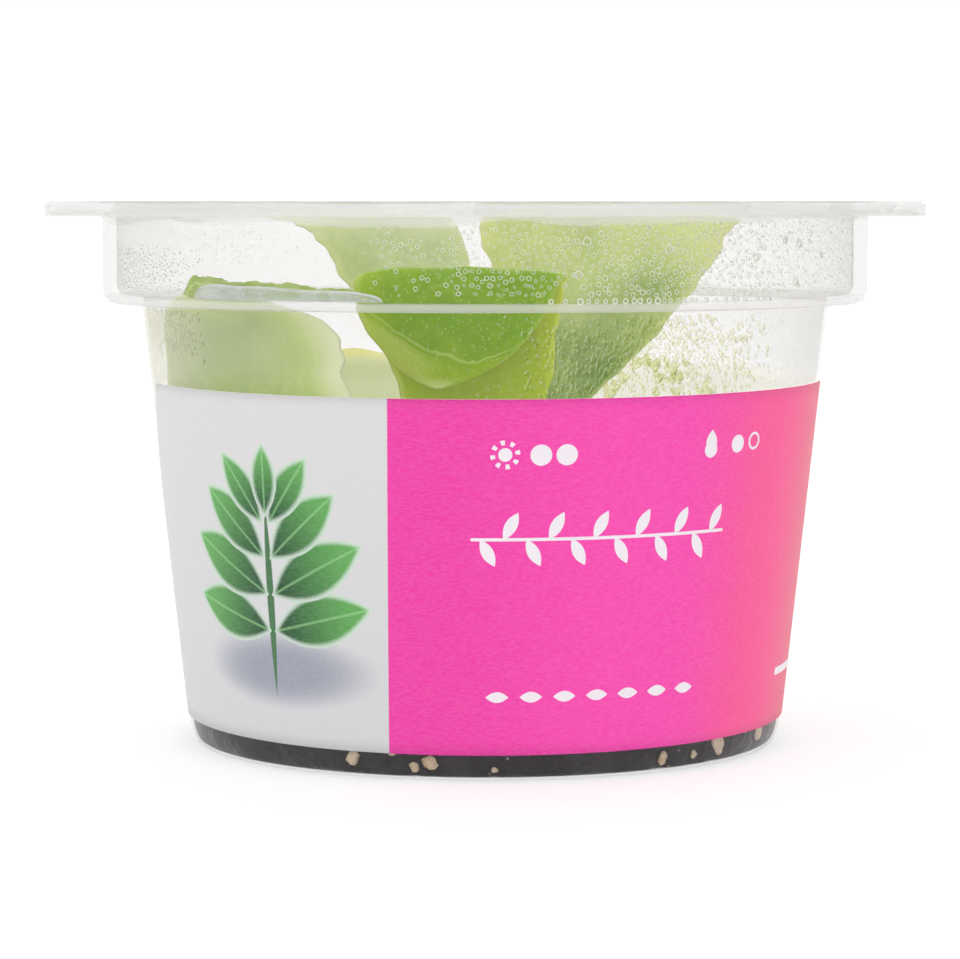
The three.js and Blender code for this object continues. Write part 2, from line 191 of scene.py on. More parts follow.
def sheet(name, top, bottom, uv):
    """A closed thin body between two grids of points, [row][column], of which top faces outwards."""
    rows, columns = top.shape[:2]
    under = rows * columns  # where the bottom's points start
    faces = []
    for over, beneath in zip(grid_faces(rows, columns), grid_faces(rows, columns, turned_over=True)):
        faces += [over, tuple(under + k for k in beneath)]
    rim = [(0, j) for j in range(columns)] + [(i, columns - 1) for i in range(1, rows)]
    rim += [(rows - 1, j) for j in range(columns - 2, -1, -1)] + [(i, 0) for i in range(rows - 2, 0, -1)]
    rim = [i * columns + j for i, j in rim]
    for p, q in zip(rim, rim[1:] + rim[:1]):
        faces.append((q, p, under + p, under + q))
    points = np.concatenate([top.reshape(-1, 3), bottom.reshape(-1, 3)])
    return make_mesh(name, points, faces, np.concatenate([uv.reshape(-1, 2)] * 2))


# ---------------------------------------------------------------- shader maths
class Value:
    """A number that varies over a surface: a node's output with Python's operators."""

    def __init__(self, finish, out):
        self.finish, self.out = finish, out

    def maths(self, operation, *values):
        return self.finish.node("ShaderNodeMath", {"operation": operation}, values)

    def __add__(self, other):
        return self.maths("ADD", self, other)

    def __sub__(self, other):
        return self.maths("SUBTRACT", self, other)

    def __rsub__(self, other):
        return self.maths("SUBTRACT", other, self)

    def __mul__(self, other):
        return self.maths("MULTIPLY", self, other)

    def __truediv__(self, other):
        return self.maths("DIVIDE", self, other)

    def __pow__(self, other):
        return self.maths("POWER", self, other)

    def __abs__(self):
        return self.maths("ABSOLUTE", self)

    __radd__, __rmul__ = __add__, __mul__

    def sin(self):
        return self.maths("SINE", self)

    def most(self, other):
        return self.maths("MAXIMUM", self, other)

    def rise(self, low, high):
        """0 where this is low, 1 where it is high, eased between; low may be the larger."""
        ends = {"Value": self, "From Min": low, "From Max": high}
        return self.finish.node("ShaderNodeMapRange", {"interpolation_type": "SMOOTHSTEP"}, ends)

    def output(self, name):
        return Value(self.finish, self.out.node.outputs[name])


class Finish:
    """A material under construction."""

    def __init__(self, name):
        self.material = bpy.data.materials.new(name)
        self.material.use_nodes = True
        self.tree = self.material.node_tree
        self.tree.nodes.clear()
        self.end = self.tree.nodes.new("ShaderNodeOutputMaterial")

    def node(self, kind, settings=None, values=()):
        """A node with its settings made first, then its sockets filled by name or place."""
        made = self.tree.nodes.new(kind)
        for key, setting in (settings or {}).items():
            setattr(made, key, setting)
        for key, value in values.items() if isinstance(values, dict) else enumerate(values):
            if value is None:
                continue
            socket = made.inputs[key]
            if isinstance(value, Value):
                self.tree.links.new(value.out, socket)
            else:
                socket.default_value = value
        shown = [o for o in made.outputs if o.enabled]
        return Value(self, shown[0]) if shown else None

    def mix(self, factor, a, b):
        """Colour a, turning into colour b as the factor rises."""
        return self.node("ShaderNodeMix", {"data_type": "RGBA"}, {0: factor, 6: colour(a), 7: colour(b)})

    def blend(self, factor, a, b):
        """Shader a, turning into shader b as the factor rises."""
        return self.node("ShaderNodeMixShader", None, [factor, a, b])

    def clear(self, red, green, blue):
        """A see-through shader that lets these shares of the light pass."""
        return self.node("ShaderNodeBsdfTransparent", None, {"Color": (red, green, blue, 1)})

    def matt(self, red, green, blue):
        """A dull shader in a colour given in screen values."""
        return self.node("ShaderNodeBsdfDiffuse", None, {"Color": colour((red, green, blue))})

    def lit_through(self, look):
        """The look, but light on its way to a lamp or the sky passes almost unchanged."""
        passing = self.clear(0.985, 0.985, 0.985)
        return self.blend(self.node("ShaderNodeLightPath").output("Is Shadow Ray"), look, passing)

    def edge_on(self):
        """0 where the surface is seen face on, rising to 1 where it is seen along its length."""
        return self.node("ShaderNodeLayerWeight", None, {"Blend": 0.5}).output("Facing")

    def glazed(self, clear, roughness, shine, ripple=None):
        """A clear shader under a mirroring skin, whose strength is given by shine."""
        sockets = {"Color": (1, 1, 1, 1), "Roughness": roughness, "Normal": ripple}
        return self.blend(shine, clear, self.node("ShaderNodeBsdfGlossy", None, sockets))

    def outside(self):
        """1 on the outer side of a shell and 0 on its inner side."""
        return 1.0 - self.node("ShaderNodeNewGeometry").output("Backfacing")

    def axes(self, vector):
        """The X, Y and Z of a vector."""
        parts = self.node("ShaderNodeSeparateXYZ", None, [vector])
        return [parts.output(axis) for axis in "XYZ"]

    def place(self):
        """X, Y and Z of the surface, in millimetres."""
        return [part * (1 / MM) for part in self.axes(self.node("ShaderNodeTexCoord").output("Object"))]

    def facing(self):
        """X, Y and Z of the direction the surface faces."""
        return self.axes(self.node("ShaderNodeTexCoord").output("Normal"))

    def unwrapped(self):
        """The two numbers of the piece's own map."""
        return self.axes(self.node("ShaderNodeUVMap", {"uv_map": "map"}))[:2]

    def grain(self, per_mm, detail=2.0, stretch=(1, 1, 1), rough=0.5):
        """Noise from 0 to 1 with so many waves to the millimetre."""
        spot = self.node("ShaderNodeTexCoord").output("Object")
        scaled = self.node("ShaderNodeMapping", None, {"Vector": spot, "Scale": stretch})
        sizes = {"Vector": scaled, "Scale": per_mm / MM, "Detail": detail, "Roughness": rough}
        return self.node("ShaderNodeTexNoise", None, sizes)

    def cells(self, per_mm):
        """Distance to scattered points that lie about so many to the millimetre."""
        spot = self.node("ShaderNodeTexCoord").output("Object")
        sizes = {"Vector": spot, "Scale": per_mm / MM}
        return self.node("ShaderNodeTexVoronoi", {"feature": "F1"}, sizes)

    def bump(self, height, depth_mm, strength=1.0):
        """The surface's own facing, tilted by a height between 0 and 1."""
        sizes = {"Height": height, "Distance": depth_mm * MM, "Strength": strength}
        return self.node("ShaderNodeBump", None, sizes)

    def opaque(self, **sockets):
        """The main shader; its sockets are given by name with _ for a space."""
        named = {key.replace("_", " "): value for key, value in sockets.items()}
        return self.node("ShaderNodeBsdfPrincipled", None, named)

    def close(self, shader):
        """Ends the material with its shader."""
        self.tree.links.new(shader.out, self.end.inputs["Surface"])
        return self.material


def colour(value):
    """Screen values from 0 to 255, or a link, as what a colour socket takes."""
    if isinstance(value, Value):
        return value
    linear = [c / 255 / 12.92 if c <= 10 else ((c / 255 + 0.055) / 1.055) ** 2.4 for c in value]
    return (*linear, 1.0)


# ---------------------------------------------------------------- finishes
def clear_plastic():
    """Thin, slightly milky plastic: see-through face on, greyer where it is seen along its length, partly
    from milkiness and partly as painted shade for the darker room it would mirror there; the bright lobes
    on the flange's lip are painted highlights.
    """
    f = Finish("clear plastic")
    x, y, z = f.place()
    across = f.edge_on()
    flow = f.grain(0.05, 1.0, stretch=(1, 1, 0.35))
    swirl = f.grain(0.07, 1.0)
    skin = f.glazed(f.clear(0.973, 0.969, 0.965), 0.06, ((across ** 5.0) * 0.6 + 0.02) * f.outside())
    # breath on the wall at the lower left, and a greenish fog at its left edge
    mist = x.rise(-14, -26) * y.rise(-10, -20) * z.rise(38, 43) * z.rise(49, 46)
    # greyer where seen along its length: partly milkiness, partly painted shade for the darker room the
    # wall would mirror
    haze_and_painted_light = (across ** 2.0) * (0.075 + flow * 0.09) + 0.008 + mist * 0.12
    wall = f.blend(haze_and_painted_light, skin, f.matt(172, 172, 170))
    under_collar = z.rise(37, 41) * z.rise(COLLAR_BOTTOM, COLLAR_BOTTOM - 1)
    fog = x.rise(-26, -36) * y.rise(8, -6) * under_collar * 0.26
    wall = f.blend(fog, wall, f.matt(240, 239, 214))
    # the collar's ledge, the flange's lip and the sealed ring are paler, and bright lobes on the lip are
    # painted highlights
    ledge = z.rise(COLLAR_BOTTOM - 0.15, COLLAR_BOTTOM + 0.05) * z.rise(LEDGE_TOP, LEDGE_TOP - 0.15)
    lip = z.rise(FLANGE_TOP - FLANGE_LIP, FLANGE_TOP - FLANGE_PLATE)
    # painted highlights: bright white lobes on the flange's lip
    lip = lip * (0.04 + swirl.rise(0.5, 0.54) * 0.4)
    veil = (z + swirl * 2.6).rise(57.7, 58.15) * 0.3
    pale = (ledge * 0.3 + lip).most(veil)
    return f.close(f.lit_through(f.blend(pale, wall, f.matt(236, 236, 235))))


def clear_film():
    """Drawn film: clear, glossy, with fine wrinkles."""
    f = Finish("clear film")
    across = f.edge_on()
    wrinkles = f.bump(f.grain(0.15, 2.0), 0.3)
    shine = ((across ** 5.0) * 0.6 + 0.04) * f.outside()
    skin = f.glazed(f.clear(0.98, 0.978, 0.975), 0.05, shine, wrinkles)
    # greyer where seen along its length: partly milkiness, partly painted shade for the darker room the
    # film would mirror
    return f.close(f.lit_through(f.blend((across ** 3.0) * 0.2 + 0.01, skin, f.matt(172, 172, 170))))


def dew(name, inner, strength):
    """Small beads of dew: clear in the middle, with a rim painted bright below and dark above, as painted
    highlight and painted shade.

    inner: where between the tip, 0, and the foot, 1, the painted rim starts, and strength: how dense it
    is.
    """
    f = Finish(name)
    rim = f.node("ShaderNodeAttribute", {"attribute_name": "rim"}).output("Fac")
    # painted shade on the upper part of the rim and a painted highlight on its lower part
    side = f.blend(f.facing()[2].rise(0.5, -0.1), f.matt(168, 178, 150), f.matt(250, 252, 244))
    ring = rim.rise(inner, 0.84) * strength
    return f.close(f.lit_through(f.blend(ring, f.clear(0.97, 0.975, 0.965), side)))


def trickle(name, tint, upright, sideways):
    """Runs of water: a painted highlight on the side towards the lower right, painted shade on the one
    opposite and a darkening tint between.

    upright, sideways: how much of a drop's painted shading runs from its top to its foot, and across it.
    """
    f = Finish(name)
    x, y, _ = f.place()
    facing_x, facing_y, facing_z = f.facing()
    aside = (facing_y * x - facing_x * y) / BODY_TOP_R  # how far it faces sideways along the wall
    slope = facing_z * upright - aside * sideways
    # painted highlight over the darkening tint
    bright = f.blend(slope.rise(-0.2, -0.6) * 0.85, f.clear(*tint), f.matt(253, 254, 242))
    # painted shade: a dark see-through tint on the opposite side
    return f.close(f.lit_through(f.blend(slope.rise(0.3, 0.7) * 0.75, bright, f.clear(0.46, 0.5, 0.32))))


def pool_water():
    """Standing water, painted pale where its skin is seen along its length and in ripple patches: painted
    reflection of the bright surroundings.
    """
    f = Finish("pool water")
    across = f.edge_on()
    ripple = f.grain(0.35, 1.0, stretch=(1, 1, 0.6))
    # painted reflection: pale where seen along its length and in ripple patches
    haze_and_painted_light = (across ** 1.5) * 0.55 + ripple.rise(0.45, 0.65) * 0.25 + 0.12
    skin = f.glazed(f.clear(0.96, 0.965, 0.97), 0.04, (across ** 3.0) * 0.6 + 0.05)
    return f.close(f.lit_through(f.blend(haze_and_painted_light, skin, f.matt(226, 230, 234))))


def leaf_finish(name, deep, light, margin, rim=0.85, hem=0.1, ramp=(0.35, 1.1), folded=None):
    """Blade tissue: a paler midrib and margin, faint side veins, mottling and fine glistening glands.

    deep, light: greens of the blade, and ramp: where along it the one gives way to the other; the lighter
    far part is partly the leaf's own colour and partly painted light for the backlight through the raised
    blade.
    margin: colour of the edge, rim: how strongly it shows, hem: how wide it is.
    folded: share of the length where the blade folds over, green beyond it, green past the tip's crease.
    """
    f = Finish(name)
    along, over = f.unwrapped()
    from_rib = over * 2.0 - 1.0
    aside = abs(from_rib)
    patches = f.grain(0.09, 2.0)
    mottle = f.grain(0.9, 3.0)
    side_veins = ((along * 46.0 - aside * 5.0) + patches * 5.0).sin()
    # darker at the stalk, lighter towards the tip: partly the leaf's own colour, partly painted backlight
    green = f.mix((along * 0.75 + patches * 0.4 + 0.1).rise(*ramp), deep, light)
    green = f.mix(mottle.rise(0.35, 0.75) * 0.2, green, light)
    green = f.mix(f.grain(0.16, 1.0).rise(0.45, 0.7) * 0.12, green, deep)
    edge = aside.rise(1.0 - hem, 0.985).most(along.rise(1.0 - 0.25 * hem, 0.998))
    if folded:
        fold, beyond, crease = folded
        turned_over = along.rise(fold, fold + 0.05)
        green = f.mix(turned_over * (1.0 - mottle.rise(0.4, 0.8) * 0.12), green, beyond)
        green = f.mix(turned_over * f.grain(0.16, 2.0).rise(0.45, 0.7) * 0.55, green, crease)
        # past: how far the place lies beyond the crease that the tip bends along, higher at the midrib
        past = along - 0.823 - (1.0 - aside ** 2.0) * 0.108 - from_rib.most(0.0) * 0.085
        past = past + (mottle - 0.5) * 0.012
        bent = past.rise(0.0, 0.03)
        green = f.mix(bent * (0.85 - over * 0.4), green, crease)
        green = f.mix(turned_over * over.rise(0.22, 0.04) * 0.8, green, crease)
        green = f.mix(bent * over.rise(0.55, 0.1) * 0.75, green, (190, 206, 98))
        green = f.mix(abs(past).rise(0.005, 0.0008) * aside.rise(0.97, 0.85) * 0.34, green, margin)
        edge = edge * (1.0 - over.rise(0.6, 0.9) * 0.8) * (1.0 - turned_over * over.rise(0.3, 0.1) * 0.6)
    green = f.mix(side_veins.rise(0.5, 1.0) * aside.rise(1.0, 0.2) * 0.06, green, light)
    midrib = aside.rise(0.07, 0.0) * along.rise(0.7, 0.1)
    green = f.mix(midrib * 0.3, green, light)
    green = f.mix(edge * rim, green, margin)
    glands = f.cells(2.4).rise(0.34, 0.06)
    green = f.mix(glands * 0.32, green, (228, 240, 176))
    height = mottle * 0.16 + side_veins * 0.08 + glands * 0.16
    tissue = f.opaque(
        Base_Color=green,
        Roughness=0.45 - glands * 0.16 + mottle * 0.1,
        Normal=f.bump(height, 0.1, 0.45),
        Subsurface_Weight=0.4,
        Subsurface_Radius=(1.5, 1.6, 0.5),
        Subsurface_Scale=MM,
        Specular_IOR_Level=0.35,
    )
    return f.close(tissue)


def medium_finish():
    """Damp, nearly black mix of peat fibre and grit."""
    f = Finish("growing medium")
    fine = f.grain(1.6, 6.0, rough=0.7)
    fibres = f.grain(0.8, 4.0, stretch=(1, 1, 3.5), rough=0.6)
    dark = f.mix(fine.rise(0.35, 0.7), (10, 6, 11), (28, 22, 29))
    dark = f.mix(fibres.rise(0.64, 0.76) * 0.5, dark, (84, 68, 56))
    dark = f.mix(f.cells(0.55).rise(0.12, 0.04) * 0.8, dark, (142, 136, 130))
    damp = f.grain(0.2, 2.0).rise(0.4, 0.65)
    crumbs = f.cells(0.9).rise(0.6, 0.0) + fine * 0.8
    return f.close(f.opaque(Base_Color=dark, Roughness=0.78 - damp * 0.4, Normal=f.bump(crumbs, 0.35)))


def grit_finish():
    """Pale pumice and quartz grains."""
    f = Finish("grit")
    pores = f.grain(2.4, 5.0, rough=0.65)
    stone = f.mix(pores.rise(0.3, 0.65), (176, 150, 120), (214, 194, 164))
    stone = f.mix(f.grain(0.35, 1.0).rise(0.45, 0.6) * 0.3, stone, (222, 214, 200))
    return f.close(f.opaque(Base_Color=stone, Roughness=0.7, Normal=f.bump(pores, 0.15)))


def floor_finish():
    """A faintly clouded, glowing white floor."""
    f = Finish("pale floor")
    pale = f.mix(f.grain(0.004, 2.0), (160, 160, 160), (163, 163, 163))
    glow = (1, 1, 1, 1)
    return f.close(f.opaque(Base_Color=pale, Roughness=0.9, Emission_Color=glow, Emission_Strength=0.64))


def paper_back():
    """The label's unprinted underside, with a painted glow that stands in for the daylight through the
    paper.
    """
    f = Finish("label underside")
    pulp = f.mix(f.grain(3.0, 4.0), (230, 226, 228), (240, 236, 238))
    # painted light: the underside glows for the daylight that shines through the paper
    return f.close(f.opaque(Base_Color=pulp, Roughness=0.6, Emission_Color=pulp, Emission_Strength=0.72))


class Print:
    """Plain shapes on the label: 1 inside and 0 outside, in millimetres round from the front and up."""

    def __init__(self, u, z):
        self.u, self.z = u, z

    def away(self, cu, cz):
        """Distance from a point."""
        return (((self.u - cu) ** 2.0) + ((self.z - cz) ** 2.0)) ** 0.5

    def disc(self, cu, cz, radius, soft=0.06):
        return self.away(cu, cz).rise(radius + soft, radius - soft)

    def bar(self, cu, cz, half_u, half_z, soft=0.05):
        """A line with round ends."""
        du = (abs(self.u - cu) - (half_u - half_z)).most(0.0)
        away = ((du ** 2.0) + ((self.z - cz) ** 2.0)) ** 0.5
        return away.rise(half_z + soft, half_z - soft)

    def leaf(self, cu, cz, turn, half_length, half_width):
        """How far inside a pointed leaf shape a place lies, and how far along it from its foot."""
        c, s = math.cos(math.radians(turn)), math.sin(math.radians(turn))
        du, dz = self.u - cu, self.z - cz
        along = (du * c + dz * s) / half_length
        return (1.0 - along ** 2.0) * half_width - abs(dz * c - du * s), along

    def sun(self, cu, cz):
        """A small disc with eight short rays round it."""
        away = self.away(cu, cz)
        turn = self.u.finish.node("ShaderNodeMath", {"operation": "ARCTAN2"}, [self.z - cz, self.u - cu])
        rays = (turn * 8.0).sin().rise(0.1, 0.4) * away.rise(0.95, 1.02) * away.rise(1.5, 1.42)
        return away.rise(0.72, 0.64).most(rays)


def magenta_panel(f, shapes):
    """Magenta, warming to coral and then paling towards the far side, with plain pale marks on it."""
    u = shapes.u
    field = f.mix(u.rise(-8.0, 16.0), (232, 50, 160), (243, 65, 172))
    field = f.mix(u.rise(20.0, 34.0), field, (245, 75, 146))
    field = f.mix(u.rise(34.0, 50.0), field, (228, 101, 122))
    field = f.mix(u.rise(56.0, 92.0), field, (255, 158, 128))
    # a small sun and two dots, then a drop, a dot and a ring
    row = 33.4
    dots = shapes.disc(5.4, row, 1.06).most(shapes.disc(7.95, row, 1.06))
    marks = shapes.sun(1.9, row + 0.05).most(dots)
    marks = marks.most(shapes.disc(24.1, row - 0.1, 0.82))
    marks = marks.most(shapes.leaf(24.1, row + 0.6, 90, 1.35, 0.72)[0].rise(-0.04, 0.05))
    ring = shapes.disc(30.5, row + 0.45, 0.92) - shapes.disc(30.5, row + 0.45, 0.66)
    marks = marks.most(shapes.disc(27.9, row + 0.3, 0.92)).most(ring)
    # a garland of small leaves where a title would stand
    garland = 24.9
    marks = marks.most(shapes.bar(12.6, garland, 14.1, 0.16))
    for i in range(12):
        up = 1 if i % 2 else -1
        leaf, _ = shapes.leaf(0.2 + i * 2.3, garland + up * 1.35, up * 62, 1.55, 0.62)
        marks = marks.most(leaf.rise(-0.05, 0.05))
    # a row of seeds and a bar near the foot
    for i in range(7):
        seed, _ = shapes.leaf(1.2 + i * 3.6, 8.8, 0, 1.2, 0.55)
        marks = marks.most(seed.rise(-0.05, 0.05))
    marks = marks.most(shapes.bar(45.5, 8.4, 4.2, 0.42))
    return f.mix(marks * 0.95, field, (236, 234, 238))


def white_panel(f, shapes):
    """White, with a leafy spray that stands on its soft shadow."""
    u, z = shapes.u, shapes.z
    speck = f.grain(7.0, 2.0, rough=0.8)
    panel = f.mix(z.rise(0.0, 40.0), (205, 205, 207), (213, 211, 212))
    middle = -24.2
    shadow = (((u - middle - 0.8) / 13.0) ** 2.0 + ((z - 10.6) / 4.4) ** 2.0).rise(1.0, 0.05)
    panel = f.mix(shadow * (0.5 + speck * 0.4), panel, (118, 124, 146))
    leaves = []
    for k, (height, size) in enumerate([(14.6, 6.3), (18.4, 6.4), (22.2, 5.6), (25.8, 4.5)]):
        lift = 14 + 13 * k
        out, up = 0.95 * size * math.cos(math.radians(lift)), 0.95 * size * math.sin(math.radians(lift))
        for hand in (-1, 1):
            turn = lift if hand > 0 else 180 - lift
            leaves.append((hand * (0.5 + out), height + up, turn, size, size * 0.44))
    leaves.append((0.2, 30.2, 88, 3.9, 1.75))
    stem = shapes.leaf(middle, 18.0, 89, 10.4, 0.5)[0].rise(-0.05, 0.1)
    panel = f.mix(stem, panel, (62, 110, 66))
    for aside, height, turn, half_length, half_width in leaves:
        inside, along = shapes.leaf(middle + aside, height, turn, half_length, half_width)
        frayed = inside + (speck - 0.5) * 0.35
        green = f.mix((along * 0.5 + 0.5).rise(0.0, 1.0), (16, 70, 36), (96, 168, 84))
        rib = ((1.0 - along ** 2.0) * half_width - inside).rise(0.2, 0.05)
        green = f.mix(rib * 0.5, green, (150, 205, 140))
        green = f.mix(frayed.rise(0.75, 0.1) * 0.85, green, (206, 222, 208))
        panel = f.mix(frayed.rise(-0.06, 0.08), panel, green)
    return panel


def label_print():
    """The printed face: a white panel with a leafy spray, and a magenta panel with plain marks."""
    f = Finish("label print")
    shapes = Print(*f.unwrapped())
    # the boundary leans a little, as the sheet was cut before it was wrapped round the taper
    boundary = (shapes.u + 10.55 - (shapes.z - 3.0) * 0.031).rise(-0.05, 0.05)
    face = f.mix(boundary, white_panel(f, shapes), magenta_panel(f, shapes))
    face = f.mix((shapes.u - 98.0).rise(-0.06, 0.06), face, (232, 231, 233))
    weave = f.grain(1.6, 3.0, stretch=(1, 1, 3.5))
    face = f.mix(weave.rise(0.35, 0.65) * 0.035, face, (255, 255, 255))
    grain = f.bump(f.grain(0.5, 2.0), 0.05, 0.5)
    paper = f.opaque(Base_Color=face, Roughness=0.42 + weave * 0.1, Normal=grain, Specular_IOR_Level=0.35)
    return f.close(paper)


# ---------------------------------------------------------------- leaves
RIB_STEPS = 60
REACH = 1.018  # the tip is rounded off just past the midrib's end
HALF_THICK = 0.5
UNDER_FILM, OVER_MIX = 1.3, 1.6  # how far the blades keep from the flange's top and from the mix
EASE = 1.6  # millimetres over which a blade bends off the wall or the film
CROWN_PROFILE = [(2.5, 18), (2.8, 20.6), (2.5, 23), (1.8, 25.4)]
CROWN_TOP = 26.6
TIER_Z = (21.9, 23.3, 24.7)
# Of each leaf: its tier on the crown, its bearing, and how far it sweeps round, late or early, towards
# its tip; the slope of its midrib in degrees at even steps, its lean to one side, its length and width;
# the depth of its trough, the wave of its margin, how closely it hugs the wall and how many millimetres
# it keeps off it (layer); and the form of its outline, with how much fuller its one half is at even
# steps.
LEAVES = {
    "leaf_front": dict(
        tier=1, bearing=-2.2, sweep=-8, late=4, length=50.7, width=22.4, trough=0.05, layer=0.6,
        stalk=0.14, taper=2.35, widest=0.78, blunt=2, point=0.72,
        fuller=[0, 0, 0, 0, -0.05, -0.13, -0.08, -0.08, 0],
        rise=[38, 32, 28, 29, 45, 73, 83, 82, 66, -78, -94, -92],
    ),
    "leaf_left": dict(
        tier=1, bearing=-65.8, sweep=10.5, length=48, width=40, trough=0.1, wave=0.15, hug=0.95,
        stalk=0.085, taper=2.5, widest=0.66, blunt=3.4, fuller=[0, 0, 0, 0.06, 0.16, 0.21, 0.07, 0.38],
        rise=[30, 20, 6, 8, 62, 86, 60],
    ),
    "leaf_back_left": dict(
        tier=2, bearing=-151, sweep=31, lean=-22, length=49, width=15.4, trough=0.1,
        stalk=0.15, widest=0.82, blunt=4, fuller=[0, 0, 0, 0.24, 0.36, 0.34, 0.18, -0.08],
        rise=[66, 72, 74, 70, 60, 16, 0],
    ),
    "leaf_back_right": dict(
        tier=2, bearing=136, lean=34, length=46.5, width=29.6, trough=0.2,
        stalk=0.1, taper=3, widest=0.9, blunt=4, fuller=[0, 0, 0, 0.05, 0.22, 0.2, 0, -0.06],
        rise=[59, 52, 54, 66, 76, 72, 40],
    ),
    "leaf_back": dict(
        tier=1, bearing=-150, length=33, width=23, trough=0.12, blunt=3.4, rise=[44, 34, 22, 30, 50]
    ),
    "leaf_right": dict(tier=1, bearing=62, length=32, width=20, trough=0.2, rise=[42, 28, 12, 16, 40]),
    "leaf_low_front": dict(bearing=26, length=32, width=20, rise=[20, 10, 8, 16, 50]),
    "leaf_low_right": dict(bearing=98, length=34, width=21, rise=[20, 10, 6, 18, 54]),
    "leaf_low_back": dict(bearing=172, length=35, width=22, rise=[20, 12, 8, 20, 46]),
    "leaf_low_left": dict(bearing=-114, length=34, width=19.4, rise=[20, 10, 8, 22, 50]),
    "leaf_low_front_left": dict(bearing=-36, length=31, width=19, rise=[20, 8, 4, 10, 30]),
}


def knots(values, t):
    """Value at t, from 0 to 1, of a smooth curve through evenly spaced knots."""
    x = np.clip(t, 0, 1) * (len(values) - 1)
    i = np.minimum(x.astype(int), len(values) - 2)
    f = x - i
    at = lambda k: np.take(np.asarray(values, float), np.clip(k, 0, len(values) - 1))
    a, b, c, d = at(i - 1), at(i), at(i + 1), at(i + 2)
    return b + 0.5 * f * (c - a + f * (2 * a - 5 * b + 4 * c - d + f * (3 * (b - c) + d - a)))


def soft_min(a, b, blend):
    """The lesser of two numbers, rounded off where they meet."""
    h = np.clip(0.5 + 0.5 * (b - a) / blend, 0, 1)
    return b + (a - b) * h - blend * h * (1 - h)


def free_radius(z):
    """Inside radius of the solid cup, eased over the ledge."""
    wall = body_outer(np.minimum(z, LEDGE_TOP)) - SOLID_WALL
    return wall + (COLLAR_INNER - wall) * smooth(z, LEDGE_TOP + 0.5, LEDGE_TOP + 2.2)


def outline(t, stalk=0.16, widest=0.62, taper=1.3, blunt=2.4, point=0.5):
    """Width of the blade as a share of its widest.

    stalk: its share at the foot, widest: where along it the blade is widest, taper: how late it
    spreads, blunt and point: how square and how full its tip is.
    """
    spread = np.sin(math.pi / 2 * np.clip(t / widest, 0, 1)) ** taper
    beyond = np.clip((t - widest) / (1.02 - widest), 0, 1)
    return (stalk + (1 - stalk) * spread) * (1 - beyond**blunt) ** point


def turn_about(vectors, axis, angle):
    """Vectors turned by the angle, in radians, about unit axes."""
    c, s = np.cos(angle)[..., None], np.sin(angle)[..., None]
    along = axis * (vectors * axis).sum(-1, keepdims=True)
    return vectors * c + np.cross(axis, vectors) * s + along * (1 - c)


class Blade:
    """The middle surface of a leaf: t runs from the stalk to the tip, s across it from -1 to 1."""

    def __init__(self, leaf):
        self.leaf = leaf
        tier = TIER_Z[leaf.get("tier", 0)]
        radii, heights = zip(*CROWN_PROFILE)
        r0 = leaf.get("start_r", float(np.interp(tier, heights, radii)) + 0.5)
        z0 = leaf.get("start_z", tier)
        t = np.arange(RIB_STEPS + 3) / RIB_STEPS
        up = np.radians(knots(leaf["rise"], t))
        step = leaf["length"] / RIB_STEPS
        r = r0 + np.concatenate([[0], np.cumsum(np.cos(up[1:]) * step)])
        z = z0 + np.concatenate([[0], np.cumsum(np.sin(up[1:]) * step)])
        a = np.radians(leaf["bearing"] + leaf.get("sweep", 0) * t ** leaf.get("late", 2))
        out = at_bearing(1.0, a, 0 * a)
        side = np.stack([np.cos(a), np.sin(a), 0 * a], -1)
        tangent = out * np.cos(up)[:, None] + UP * np.sin(up)[:, None]
        self.across = turn_about(side, tangent, np.radians(leaf.get("lean", 0) * t))
        self.upper = np.cross(self.across, tangent)
        self.point = out * r[:, None] + UP * z[:, None]

    def at(self, t, s):
        """Points of the blade, held inside the cup, under the film and above the mix."""
        leaf = self.leaf
        x = np.clip(t, 0, REACH) * RIB_STEPS
        i = np.minimum(x.astype(int), RIB_STEPS + 1)
        f = (x - i)[..., None]
        between = lambda rows: rows[i] * (1 - f) + rows[i + 1] * f
        form = {k: leaf[k] for k in ("stalk", "widest", "taper", "blunt", "point") if k in leaf}
        half = 0.5 * leaf["width"] * outline(t, **form)
        half = half * (1 + knots(leaf.get("fuller", [0, 0]), t) * np.maximum(0, s))
        ripple = leaf.get("wave", 0) * np.abs(s) ** 3 * np.sin(6 * math.pi * t + np.where(s > 0, 0, 2))
        bend = leaf.get("hug", 0) * smooth(t, 0.35, 0.8)
        p = between(self.point)
        turn = bend * half * s / np.hypot(p[..., 0], p[..., 1])
        p = p + between(self.across) * ((1 - bend) * half * s)[..., None]
        lift = half * leaf.get("trough", 0.15) * s * s + ripple * np.minimum(1, 3 * t)
        p = p + between(self.upper) * lift[..., None]
        p = turn_about(p, UP, turn)
        radius = np.hypot(p[..., 0], p[..., 1])
        room = free_radius(p[..., 2]) - leaf.get("layer", 0.5) - HALF_THICK
        held = soft_min(radius, room, EASE) / radius
        below = soft_min(p[..., 2], FLANGE_TOP - UNDER_FILM, EASE)
        height = -soft_min(-below, -SOIL_TOP - OVER_MIX, 1.0)
        return np.stack([p[..., 0] * held, p[..., 1] * held, height], -1)

    def upward(self, t, s):
        """The direction in which the blade's upper side faces."""
        dt, ds = 0.004, 0.05
        along = self.at(t + dt, s) - self.at(t - dt, s)
        over = self.at(t, np.clip(s + ds, -1, 1)) - self.at(t, np.clip(s - ds, -1, 1))
        normal = np.cross(over, along)
        return normal / np.maximum(np.linalg.norm(normal, axis=-1, keepdims=True), 1e-9)


